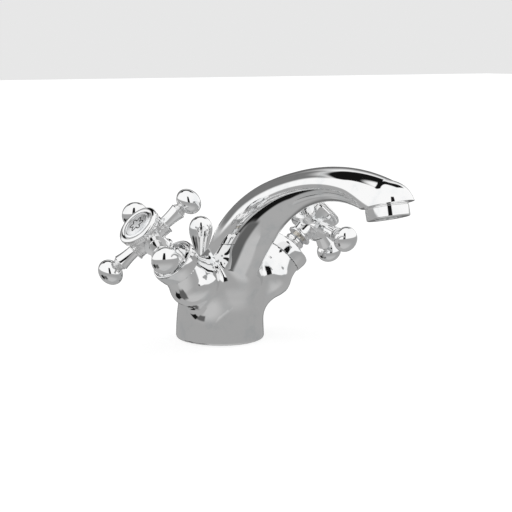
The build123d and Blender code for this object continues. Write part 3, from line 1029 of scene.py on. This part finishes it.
    def spout_field(self, x: np.ndarray, y: np.ndarray, z: np.ndarray) -> np.ndarray:
        """Signed distance, near enough, to the spout and its rounded end over the outlet.

        A point's level at the nearest place of the middle line is
        (plan / half width) ^ p + (depth / half depth) ^ p, to the power 1 / p, where plan is
        the distance across and, ahead of the outlet, forward as well.  Near the outlet the widest
        line drops toward the outlet flat, the lower half's depth counts less and less, so that
        the belly runs down into the flat.  p is 2 at the sides and grows toward the front, where
        the end is fuller than an ellipse.

        Args:
            x: millimetres across.
            y: millimetres to the back.
            z: millimetres up.

        Returns:
            The field in millimetres.
        """
        side = np.broadcast(y, z).shape
        at, offset, ahead = self.nearest(*(np.broadcast_to(v, side).ravel() for v in (y, z)))
        deep = (offset[:, 1] * -ahead[:, 0] + offset[:, 0] * ahead[:, 1]).reshape(side)
        beyond = (offset * ahead).sum(axis=1).reshape(side)
        half = self.sampled(at, self.path["line"][:, 2:])
        half_x, half_n = half[:, 0].reshape(side), half[:, 1].reshape(side)
        reached = at.reshape(side)
        upright = self.grown(reached, self.upright_from_to)
        drop = self.drop * self.grown(reached, self.drop_from_to)
        seat = self.tip_seat(self.nose_forward)
        forward = -((y - seat.origin[1]) * seat.axes[1, 1] + (z - seat.origin[2]) * seat.axes[1, 2])
        forward = np.where(upright > 0.0, np.maximum(forward, 0.0), 0.0)
        height = (y - seat.origin[1]) * seat.axes[2, 1] + (z - seat.origin[2]) * seat.axes[2, 2]
        power = 2.0 + self.nose_fullness * forward**2 / (x**2 + forward**2 + self.side_softening)
        lower = deep + drop < 0.0
        weight = np.where(lower, (1.0 - upright) / (half_n - drop), 1.0 / (half_n + drop))
        depth = np.abs(deep + drop) * weight
        plan = np.sqrt(x**2 + forward**2 + TINY)
        level = ((plan / half_x) ** power + (depth + self.depth_softening) ** power) ** (1.0 / power)
        slope = np.sqrt((plan / half_x**2) ** 2 + (depth * weight) ** 2 + TINY) / level
        field_value = np.maximum((level - 1.0) / slope, self.field_floor)
        foot = np.where(upright > 0.0, -self.flat_depth - height, -self.free_depth)
        field_value = np.maximum(field_value, foot)
        ends = np.abs(beyond) - self.end_slack - self.end_reach * upright
        field_value = np.maximum(field_value, ends)
        return np.broadcast_to(field_value, np.broadcast(x, y, z).shape)

    def sampled(self, at: np.ndarray, values: np.ndarray) -> np.ndarray:
        """Values of the middle line at given lengths along it."""
        run = self.path["run"]
        return np.stack([np.interp(at, run, values[:, k]) for k in range(values.shape[1])], axis=1)

    def skirt_field(self, x: np.ndarray, y: np.ndarray, z: np.ndarray) -> np.ndarray:
        """Signed distance to the skirt: an upright rounded oval that closes as a dome.

        Args:
            x: millimetres across.
            y: millimetres to the back.
            z: millimetres up.

        Returns:
            The field in millimetres.
        """
        table = flowing(self.skirt, self.table_rows)
        half_x, half_y, middle = (np.interp(z, table[:, 0], table[:, k]) for k in (1, 2, 3))
        rise = np.maximum(z - self.dome_base, 0.0) / self.dome_rise
        across, deep = x / half_x, (y - middle) / half_y
        level = np.sqrt(across**2 + deep**2 + rise**2 + TINY)
        steep = (across / half_x) ** 2 + (deep / half_y) ** 2 + (rise / self.dome_rise) ** 2
        slope = np.sqrt(steep + TINY)
        return (level - 1.0) * level / slope

    def horn_field(self, x: np.ndarray, y: np.ndarray, z: np.ndarray, seat: Seat) -> np.ndarray:
        """Signed distance to a horn: how far a point's distance from the axis passes the profile.

        Args:
            x: millimetres across.
            y: millimetres to the back.
            z: millimetres up.
            seat: the valve's seat.

        Returns:
            The field in millimetres.
        """
        shape = np.broadcast(x, y, z).shape
        own = seat.local(np.stack([np.broadcast_to(v, shape) for v in (x, y, z)], axis=-1))
        radius = np.hypot(own[..., 0], own[..., 1])
        table = flowing(self.horn[::-1], self.table_rows)
        slope = np.gradient(table[:, 1], table[:, 0])
        wanted = np.interp(own[..., 2], table[:, 0], table[:, 1])
        lean = np.interp(own[..., 2], table[:, 0], slope)
        side = (radius - wanted) / np.sqrt(1.0 + lean**2)
        top = -blended_minimum(-side, self.horn_end - own[..., 2], self.rim_round)
        return np.maximum(top, self.horn_root - own[..., 2])

    def whole_field(self, x: np.ndarray, y: np.ndarray, z: np.ndarray) -> np.ndarray:
        """All parts joined with blends that are wide just below the horns and tight elsewhere.

        Args:
            x: millimetres across.
            y: millimetres to the back.
            z: millimetres up.

        Returns:
            The field in millimetres, cut off at the deck with a small rounding.
        """
        joined = blended_minimum(self.skirt_field(x, y, z), self.spout_field(x, y, z), self.spout_blend)
        beside = np.exp(-(((y - self.root_middle) / self.root_spread) ** 2))
        below = smoothstep((self.root_height - z) / self.root_fade) * beside
        width = self.root_blend + self.root_sweep * below
        for seat in self.horn_seats:
            joined = blended_minimum(joined, self.horn_field(x, y, z, seat), width)
        return -blended_minimum(-joined, z, self.foot_round)

    def gradient(self, points: np.ndarray) -> tuple[np.ndarray, np.ndarray]:
        """Field and its slope, by central differences.

        Args:
            points: rows of millimetres.

        Returns:
            The field at each point, and rows with its slope.
        """
        step = self.slope_step
        value = self.whole_field(points[:, 0], points[:, 1], points[:, 2])
        slope = np.empty_like(points)
        for axis in range(3):
            shift = np.zeros(3)
            shift[axis] = step
            high = self.whole_field(*(points + shift).T)
            low = self.whole_field(*(points - shift).T)
            slope[:, axis] = (high - low) / (2 * step)
        return value, slope

    def skin(self) -> tuple[np.ndarray, np.ndarray]:
        """Quads over the zero level of the field.

        Each grid cell that the level crosses gets one point, the mean of its edge crossings,
        and each grid edge that it crosses gets the quad of the four cells round it.  The
        points are then eased toward their neighbours and moved along the slope to the level.

        Returns:
            Points in millimetres and quads as point numbers.
        """
        lows, highs = np.array(self.box_low), np.array(self.box_high)
        counts = np.ceil((highs - lows) / self.cell).astype(int) + 1
        axes = [low + self.cell * np.arange(count) for low, count in zip(lows, counts)]
        value = self.whole_field(*np.ix_(*axes))
        inside = value < 0.0
        cells = tuple(int(c) - 1 for c in counts)
        total = np.zeros((*cells, 3))
        hits = np.zeros(cells)
        quads = []
        for axis in range(3):
            others = [a for a in range(3) if a != axis]
            low = [slice(None)] * 3
            high = [slice(None)] * 3
            low[axis], high[axis] = slice(None, -1), slice(1, None)
            first, second = value[tuple(low)], value[tuple(high)]
            crossed = inside[tuple(low)] != inside[tuple(high)]
            where = np.argwhere(crossed)
            share = first[crossed] / (first[crossed] - second[crossed])
            spot = where.astype(float)
            spot[:, axis] += share
            corners = []
            for a, b in ((-1, -1), (0, -1), (0, 0), (-1, 0)):
                owner = where.copy()
                owner[:, others[0]] += a
                owner[:, others[1]] += b
                np.add.at(total, tuple(owner.T), spot)
                np.add.at(hits, tuple(owner.T), 1.0)
                corners.append(np.ravel_multi_index(tuple(owner.T), cells))
            quad = np.stack(corners, axis=1)
            rising = inside[tuple(low)][crossed]
            flip = rising == (axis == 1)
            quad[flip] = quad[flip][:, ::-1]
            quads.append(quad)
        used = hits > 0
        number = np.full(used.size, -1)
        number[used.ravel()] = np.arange(used.sum())
        points = lows + self.cell * total[used] / hits[used][:, None]
        quad = number[np.vstack(quads)]
        for _ in range(self.ease_rounds):
            points = self.onto_level(self.eased_mesh(points, quad))
        return self.onto_level(points), quad

    def eased_mesh(self, points: np.ndarray, quad: np.ndarray) -> np.ndarray:
        """Move each point halfway to the mean of the points it shares an edge with.

        Args:
            points: rows to move.
            quad: faces as point numbers.

        Returns:
            The moved rows.
        """
        total = np.zeros_like(points)
        count = np.zeros(len(points))
        for k in range(4):
            here, there = quad[:, k], quad[:, (k + 1) % 4]
            np.add.at(total, here, points[there])
            np.add.at(total, there, points[here])
            np.add.at(count, here, 1.0)
            np.add.at(count, there, 1.0)
        return 0.5 * points + 0.5 * total / count[:, None]

    def onto_level(self, points: np.ndarray) -> np.ndarray:
        """Move points along the field's slope to its zero level."""
        value, slope = self.gradient(points)
        return points - slope * (value / np.maximum((slope**2).sum(axis=1), 1e-6))[:, None]

    def cutters(self) -> bpy.types.Object:
        """Machined openings: outlet flat and bore, inlets, stud, lift rod, gasket groove, valve seats.

        Returns:
            One object that holds all the tools as closed surfaces.
        """
        tools = Shell("cutters")
        tools.add_turned(turned(self.plain(self.outlet_cut), self.wide_points), self.tip_seat(0.0))
        chamfer = self.hole_chamfer
        for x, y, radius, depth in self.deck_holes:
            hole = ((0, -2), (radius + chamfer, -2), (radius, chamfer), (radius, depth), (0, depth))
            place = Seat(np.array([x, y, 0.0]), np.eye(3))
            tools.add_turned(turned(self.plain(hole), self.hole_points), place)
        rod = Seat(np.array([0.0, self.rod_y, 0.0]), np.eye(3))
        tools.add_turned(turned(self.plain(self.rod_bore), self.hole_points), rod)
        groove = turned(self.plain(self.gasket_groove, True), self.wide_points)
        tools.add_turned(groove, UPRIGHT, ring=True)
        for seat in self.horn_seats:
            tools.add_turned(turned(self.plain(self.valve_hollow), self.valve_points), seat)
        return tools.finish()

    def plain(self, corners: Sequence[tuple[float, float]], closed: bool = False) -> np.ndarray:
        """Profile with sharp corners, as eased gives it."""
        return eased([(*corner, 0.0) for corner in corners], closed)

    def build(self, finish: Finish) -> list[bpy.types.Object]:
        """Make the casting, cut its openings and give the skin exact normals.

        Args:
            finish: finish of the whole casting.

        Returns:
            The fitted piece.
        """
        self.prepare()
        points, quad = self.skin()
        shell = Shell("mixer_body")
        shell.add(points * MM, [quad])
        piece = shell.finish()
        tools = self.cutters()
        cut = piece.modifiers.new("openings", "BOOLEAN")
        cut.operation = "DIFFERENCE"
        cut.solver = "EXACT"
        cut.object = tools
        bpy.context.view_layer.update()
        cut_piece = piece.evaluated_get(bpy.context.evaluated_depsgraph_get())
        done = bpy.data.meshes.new_from_object(cut_piece)
        piece.modifiers.clear()
        piece.data = done
        bpy.data.objects.remove(tools)
        self.set_normals(done)
        return [fit_out(piece, finish, "body", ["body_casting"])]

    def set_normals(self, mesh: bpy.types.Mesh) -> None:
        """Normals from the field's slope on the skin, flat ones on the machined faces.

        Args:
            mesh: the cut casting.
        """
        mesh.polygons.foreach_set("use_smooth", np.ones(len(mesh.polygons), bool))
        place = np.empty(len(mesh.vertices) * 3)
        mesh.vertices.foreach_get("co", place)
        value, slope = self.gradient(place.reshape(-1, 3) / MM)
        slope /= np.maximum(np.linalg.norm(slope, axis=1), TINY)[:, None]
        owner = np.empty(len(mesh.loops), int)
        mesh.loops.foreach_get("vertex_index", owner)
        facing = np.empty(len(mesh.polygons) * 3)
        mesh.polygons.foreach_get("normal", facing)
        sides = np.empty(len(mesh.polygons), int)
        mesh.polygons.foreach_get("loop_total", sides)
        flat = np.repeat(facing.reshape(-1, 3), sides, axis=0)
        smooth = slope[owner]
        facing_out = (flat * smooth).sum(axis=1) > self.skin_facing
        on_skin = (np.abs(value[owner]) < self.skin_nearness) & facing_out
        whole = np.repeat(np.minimum.reduceat(on_skin, np.cumsum(sides) - sides), sides)
        mesh.normals_split_custom_set(np.where(whole[:, None], smooth, flat).tolist())


# ---------------------------------------------------------------------------- cross handles
@dataclass
class CrossHandle:
    """Hub, four ball ended arms, beaded index ring and index disc of one valve."""

    prefix: str
    body: str
    seat: Seat
    around: int = 96
    arm_around: int = 72
    cone_rows: int = 24
    ball_rows: int = 40
    bead_rows: int = 10
    bead_points: int = 8
    dome_rows: int = 14
    mark_points: int = 240
    mark_section: int = 10
    band_crease: float = 50.0
    hub: tuple[tuple[float, float, float], ...] = (
        (4.05, -12.0, 0.2), (7.3, -12.0, 0.45), (7.3, -10.7, 0.45), (6.3, -10.2, 0.3),
        (6.0, -9.2, 0.5), (6.0, -3.6, 1.8), (7.0, -1.0, 1.4), (11.6, 6.6, 0.5), (12.0, 7.4, 0.2),
        (9.6, 7.4, 0.0), (9.6, 9.9, 0.2), (4.0, 9.9, 0.1), (4.0, 4.45, 0.0), (2.2, 4.45, 0.0),
        (2.2, 2.3, 0.0), (4.05, 2.3, 0.0),
    )
    boss: tuple[tuple[float, float, float], ...] = (
        (0.0, 2.5, 0.0), (5.7, 2.5, 0.0), (5.7, 8.3, 0.1), (5.4, 8.5, 0.05), (5.7, 8.7, 0.1),
        (5.7, 9.2, 0.1), (5.4, 9.4, 0.05), (5.7, 9.6, 0.1), (5.7, 10.2, 0.12), (5.15, 10.25, 0.0),
        (5.15, 10.5, 0.0), (6.1, 10.55, 0.28), (6.1, 11.3, 0.28), (3.7, 11.35, 0.2),
        (3.5, 11.6, 0.0),
    )
    rings: tuple[tuple[float, float, float], ...] = (
        (4.55, 20.9, 0.0), (4.62, 21.1, 0.12), (4.3, 21.4, 0.1), (3.2, 21.45, 0.1),
        (3.2, 21.7, 0.05), (3.95, 21.75, 0.3), (3.95, 22.35, 0.3), (3.0, 22.4, 0.1),
        (3.0, 22.55, 0.05), (3.45, 22.6, 0.2), (3.45, 23.0, 0.2), (2.75, 23.05, 0.0),
    )
    cone_root: float = 3.5
    cone_swell: float = 1.05
    cone_curve: float = 1.9
    ball_centre: float = 28.9
    ball_across: float = 7.5
    ball_along: float = 6.1
    beads: int = 60
    bead_root: float = 11.7
    bead_height: float = 0.6
    band: tuple[float, float] = (8.25, 9.5)
    mark_radius: float = 3.4
    mark_wave: float = 1.0
    mark_lobes: int = 6
    mark_half_width: float = 0.38
    mark_half_height: float = 0.1
    disc_top: float = 11.6
    disc_fall: float = 0.3
    disc_radius: float = 9.0
    dome_radius: float = 6.9
    disc_edge: tuple[tuple[float, float, float], ...] = (
        (0, 9.94, 0), (8.98, 9.94, 0), (8.98, 11.2, 0.2), (7.6, 11.36, 0.12), (7.4, 11.05, 0.1),
        (7.0, 11.05, 0.1), (6.9, 11.42, 0),
    )
    crown: tuple[tuple[float, float, float], ...] = (
        (12.25, 9.55, 0.12), (12.4, 10.2, 0.5), (11.9, 11.05, 0.55), (10.7, 11.34, 0.4),
        (9.7, 11.3, 0.25), (9.05, 10.95, 0.1), (9.05, 9.94, 0.0), (9.62, 9.94, 0.0),
        (9.62, 7.42, 0.0),
    )

    def arm_profile(self) -> np.ndarray:
        """Boss, concave cone, ring mouldings and ball of one arm, as radius and reach.

        The cone's radius grows with a power of the way along it; the ball is an ellipse.

        Returns:
            Rows of radius and reach, ending on the arm's axis.
        """
        way = np.linspace(0.0, 1.0, self.cone_rows)[1:-1]
        reach = self.boss[-1][1] + way * (self.rings[0][1] - self.boss[-1][1])
        cone = np.stack([self.cone_root + self.cone_swell * way**self.cone_curve, reach], axis=1)
        start = math.pi - math.asin(self.rings[-1][0] / self.ball_across)
        turn = np.linspace(start, 0.0, self.ball_rows)
        ball = np.stack(
            [self.ball_across * np.sin(turn), self.ball_centre + self.ball_along * np.cos(turn)], axis=1
        )
        ball[-1, 0] = 0.0
        return np.vstack([eased(self.boss), cone, eased(self.rings)[:-1], ball])

    def grip(self) -> bpy.types.Object:
        """Hub with its arms.

        Returns:
            The piece.
        """
        shell = Shell(self.prefix + "cross")
        shell.add_turned(turned(eased(self.hub, closed=True), self.around), self.seat, ring=True)
        profile = self.arm_profile()
        for quarter in range(4):
            shell.add_turned(turned(profile, self.arm_around), self.seat.along(90.0 * quarter))
        return shell.finish()

    def ring(self) -> bpy.types.Object:
        """Index ring: plain foot, a band of small beads and a rounded crown.

        A bead stands out from the band by a half circle round it times a half circle up it.

        Returns:
            The piece.
        """
        low, high = self.band
        rows = np.linspace(low, high, self.bead_rows)
        foot = eased([(12.1, 7.42, 0.15), (12.1, low - 0.1, 0.1), (self.bead_root, low - 0.05, 0.0)])
        crown = eased([(self.bead_root, high + 0.02, 0.0), *self.crown])
        band = np.stack([np.full(len(rows), self.bead_root), rows], axis=1)
        around = self.beads * self.bead_points
        grid = turned(np.vstack([foot, band, crown]), around)
        angle = np.arange(around) * FULL_TURN / around
        round_part = (angle * self.beads / FULL_TURN) % 1.0 * 2.0 - 1.0
        up_part = (rows - low) / (high - low) * 2.0 - 1.0
        up_swell = np.sqrt(np.clip(1 - up_part[:, None] ** 2, 0, 1))
        round_swell = np.sqrt(np.clip(1 - round_part**2, 0, 1))
        scale = 1.0 + self.bead_height * (up_swell * round_swell) / self.bead_root
        rows_at = slice(len(foot), len(foot) + len(rows))
        grid[rows_at, :, :2] *= scale[..., None]
        shell = Shell(self.prefix + "index_band")
        shell.add_turned(grid, self.seat, ring=True)
        return shell.finish(self.band_crease)

    def disc(self) -> bpy.types.Object:
        """Index disc with a plain ring groove near its edge.

        Its top falls from the middle with the square of the radius.

        Returns:
            The piece.
        """
        way = np.linspace(self.dome_radius, 0.0, self.dome_rows)
        dome = np.stack([way, self.disc_top - self.disc_fall * (way / self.disc_radius) ** 2], axis=1)
        edge = eased(self.disc_edge)
        shell = Shell(self.prefix + "index_face")
        shell.add_turned(turned(np.vstack([edge[:-1], dome]), self.around), self.seat)
        return shell.finish()

    def mark(self) -> bpy.types.Object:
        """Plain rosette line on the disc: a thin oval section carried round a waved circle.

        Returns:
            The piece.
        """
        angle = np.linspace(0.0, FULL_TURN, self.mark_points, endpoint=False)[:, None]
        section = np.linspace(0.0, FULL_TURN, self.mark_section, endpoint=False)[None, :]
        radius = self.mark_radius + self.mark_wave * np.cos(self.mark_lobes * angle)
        change = -self.mark_wave * self.mark_lobes * np.sin(self.mark_lobes * angle)
        length = np.hypot(radius, change)
        out_x = (radius * np.cos(angle) + change * np.sin(angle)) / length
        out_y = (radius * np.sin(angle) - change * np.cos(angle)) / length
        sideways = self.mark_half_width * np.cos(section)
        x = radius * np.cos(angle) + out_x * sideways
        y = radius * np.sin(angle) + out_y * sideways
        top = self.disc_top - self.disc_fall * (np.hypot(x, y) / self.disc_radius) ** 2
        shell = Shell(self.prefix + "index_mark")
        line = np.stack([x, y, top + self.mark_half_height * np.sin(section)], axis=-1)
        shell.add_turned(line, self.seat, ring=True)
        return shell.finish()

    def build(self) -> list[bpy.types.Object]:
        """Make and fit all the handle's pieces.

        Returns:
            The fitted pieces.
        """
        own, body = self.prefix, self.body
        return [
            fit_out(self.grip(), CHROME, body, [own + "handle"]),
            fit_out(self.ring(), CHROME, body, [own + "index_ring"]),
            fit_out(self.disc(), SATIN_DISC, body, [own + "index_disc"]),
            fit_out(self.mark(), BLACK_ENAMEL, body),
        ]


# ---------------------------------------------------------------------------- headwork
@dataclass
class Headwork:
    """Open bowl, hexagon and ringed neck of one valve."""

    prefix: str
    seat: Seat
    bowl: tuple[tuple[float, float, float], ...] = (
        (8.6, -26.98, 0.1), (12.2, -26.98, 0.0), (12.45, -27.9, 0.2), (12.85, -27.7, 0.3),
        (13.3, -24.6, 1.6), (13.5, -22.4, 1.4), (13.1, -20.35, 0.9), (11.8, -20.3, 0.8),
        (11.3, -23.0, 1.6), (9.8, -24.78, 1.4), (8.6, -24.78, 0.1),
    )
    hex_half: float = 8.5
    hex_corner: float = 9.7
    hex_heights: tuple[float, float] = (-24.76, -21.36)
    neck: tuple[tuple[float, float, float], ...] = (
        (6.4, -21.36, 0.0), (6.4, -17.8, 0.15), (5.4, -17.1, 0.1), (5.4, -16.3, 0.1),
        (5.9, -16.15, 0.15), (5.9, -15.1, 0.15), (5.6, -14.8, 0.1), (4.07, -14.8, 0.1),
        (4.07, -35.0, 0.0), (6.4, -35.0, 0.0), (6.4, -44.9, 0.1), (7.6, -44.9, 0.3),
        (7.6, -33.0, 0.0), (8.28, -32.7, 0.2), (8.28, -24.76, 0.0),
    )
    ridge_pitch: float = 0.9
    ridge_depth: float = 0.35
    ridge_run_out: float = 0.4
    hex_points: int = 180
    cup_points: int = 128
    cup_steps: int = 10
    neck_points: int = 96
    ridge_rows: int = 40
    stem_crease: float = 40.0

    def cup(self) -> bpy.types.Object:
        """The bowl.

        Returns:
            The piece.
        """
        shell = Shell(self.prefix + "cup")
        profile = eased(self.bowl, closed=True, steps=self.cup_steps)
        shell.add_turned(turned(profile, self.cup_points), self.seat, ring=True)
        return shell.finish()

    def stem(self) -> bpy.types.Object:
        """Hexagon and neck.

        The hexagon's radius is its half width over the cosine of the angle from the middle of
        the nearest flat, held inside a cone at its upper corners.  The neck's ridges follow a
        cosine of the height.

        Returns:
            The piece.
        """
        low, high = self.hex_heights
        angle = np.arange(self.hex_points) * FULL_TURN / self.hex_points
        sector = FULL_TURN / 6
        flat = self.hex_half / np.cos((angle + sector / 2) % sector - sector / 2)
        heights = np.array([low, low, low + 0.5, high - 0.9, high - 0.45, high, high])
        corner = self.hex_corner
        limit = np.array([0.0, corner - 0.5, corner, corner, corner - 0.4, corner - 0.9, 0.0])
        radius = np.minimum(flat[None, :], limit[:, None])
        level = np.broadcast_to(heights[:, None], radius.shape)
        grid = np.stack([radius * np.cos(angle), radius * np.sin(angle), level], axis=-1)
        shell = Shell(self.prefix + "stem")
        shell.add_turned(grid, self.seat)
        ridges = np.linspace(self.neck[0][1], self.neck[1][1] - self.ridge_run_out, self.ridge_rows)
        turn = (ridges - ridges[0]) * FULL_TURN / self.ridge_pitch
        wave = self.ridge_depth * (0.5 - 0.5 * np.cos(turn))
        ridged = np.stack([self.neck[0][0] - wave, ridges], axis=1)
        profile = np.vstack([ridged, eased(self.neck[1:], closed=True)])
        shell.add_turned(turned(profile, self.neck_points), self.seat, ring=True)
        return shell.finish(self.stem_crease)

    def build(self) -> list[bpy.types.Object]:
        """Make and fit the bowl and stem.

        Returns:
            The fitted pieces.
        """
        return [
            fit_out(self.cup(), CHROME, "body", [self.prefix + "bowl"]),
            fit_out(self.stem(), CHROME, "body", [self.prefix + "headwork"]),
        ]


# ---------------------------------------------------------------------------- outlet and drain lift
@dataclass
class Outlet:
    """Screwed ring under the spout tip."""

    seat: Seat
    profile: tuple[tuple[float, float, float], ...] = (
        (6.7, -6.6, 0.25), (10.2, -6.6, 0.2), (10.6, -6.15, 0.3), (10.6, -1.25, 0.1),
        (10.4, -1.05, 0.05), (10.4, -0.6, 0.05), (10.6, -0.4, 0.1), (10.6, -0.02, 0.0),
        (9.28, -0.02, 0.0), (9.28, 4.6, 0.2), (8.0, 4.6, 0.0), (8.0, -5.4, 0.0), (6.7, -5.4, 0.1),
    )
    flat_half: float = 10.3
    flat_top: float = -4.6
    wall_reach: float = 0.3
    around: int = 192

    def build(self) -> list[bpy.types.Object]:
        """Make the ring, with its two wrench flats: near the foot the radius is held inside them.

        Returns:
            The fitted piece.
        """
        grid = turned(eased(self.profile, closed=True), self.around)
        radius = np.hypot(grid[..., 0], grid[..., 1])
        across = np.maximum(np.abs(grid[..., 0]), TINY)
        held = np.where(grid[..., 2] < self.flat_top, np.minimum(1.0, self.flat_half / across), 1.0)
        grid[..., 0] *= np.where(radius > self.flat_half - self.wall_reach, held, 1.0)
        shell = Shell("outlet_ring")
        shell.add_turned(grid, self.seat, ring=True)
        return [fit_out(shell.finish(), CHROME, "body", ["aerator_housing"])]


@dataclass
class DrainLift:
    """Pear shaped lift knob over the lift rod, whose distance behind the base centre is y."""

    y: float
    pear: tuple[tuple[float, float], ...] = (
        (0.0, 68.9), (2.5, 68.5), (4.7, 67.1), (6.25, 64.8), (6.95, 62.0), (6.8, 58.9), (5.8, 54.8),
        (4.5, 50.4), (3.55, 46.0), (3.1, 42.8), (3.0, 40.4),
    )
    foot: tuple[tuple[float, float, float], ...] = (
        (3.0, 40.4, 0.0), (3.0, 40.0, 0.15), (2.03, 40.0, 0.0), (2.03, 52.03, 0.0),
        (0.0, 52.03, 0.0),
    )
    pear_rows: int = 60
    around: int = 96

    def build(self) -> list[bpy.types.Object]:
        """Make and fit the knob.

        Returns:
            The fitted piece.
        """
        shell = Shell("lift_pear")
        profile = np.vstack([flowing(self.pear, self.pear_rows)[:-1], eased(self.foot)])
        place = Seat(np.array([0.0, self.y, 0.0]), np.eye(3))
        shell.add_turned(turned(profile, self.around), place)
        return [fit_out(shell.finish(), CHROME, "lift", ["lift_knob"])]


def dress(node: str, finish: Finish) -> None:
    """Give a CAD node its finish.

    Args:
        node: name of the node.
        finish: its finish.
    """
    holder = frame["nodes"][node]
    holder.data.materials.clear()
    holder.data.materials.append(finish.material())


def valve_seat(joint: str) -> Seat:
    """Seat of a valve: origin where the arms cross, Z out along the spindle, X to the back.

    Args:
        joint: name of the valve's joint.

    Returns:
        The seat.
    """
    found = next(j for j in frame["joints"] if j["name"] == joint)
    origin = np.array(found["pos_m"]) / MM
    outward = np.array(found["axis"])
    side = math.copysign(1.0, origin[0])
    back = side * np.array([-outward[1], outward[0], 0.0])
    back /= np.linalg.norm(back)
    return Seat(origin, np.array([back, np.cross(outward, back), outward]))


def main() -> None:
    """Build the scene and report each piece."""
    logging.basicConfig(level=logging.INFO, format="%(name)s: %(message)s")
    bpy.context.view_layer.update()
    Studio().build()
    for ending, finish in NODE_FINISHES.items():
        for node in frame["nodes"]:
            if node.endswith(ending):
                dress(node, finish)
    hot, cold = valve_seat("hot_valve"), valve_seat("cold_valve")
    casting = Casting((hot, cold))
    pieces = casting.build(CHROME)
    for prefix, seat, turn in (("hot_", hot, HOT_TURN), ("cold_", cold, COLD_TURN)):
        pieces += CrossHandle(prefix, prefix + "handle_set", seat.spun(turn)).build()
        pieces += Headwork(prefix, seat.spun(turn)).build()
    pieces += Outlet(casting.tip_seat(0.0)).build()
    pieces += DrainLift(casting.rod_y).build()
    for piece in pieces:
        LOG.info("%s: %d faces", piece.name, len(piece.data.polygons))


if __name__ == "__main__":
    main()
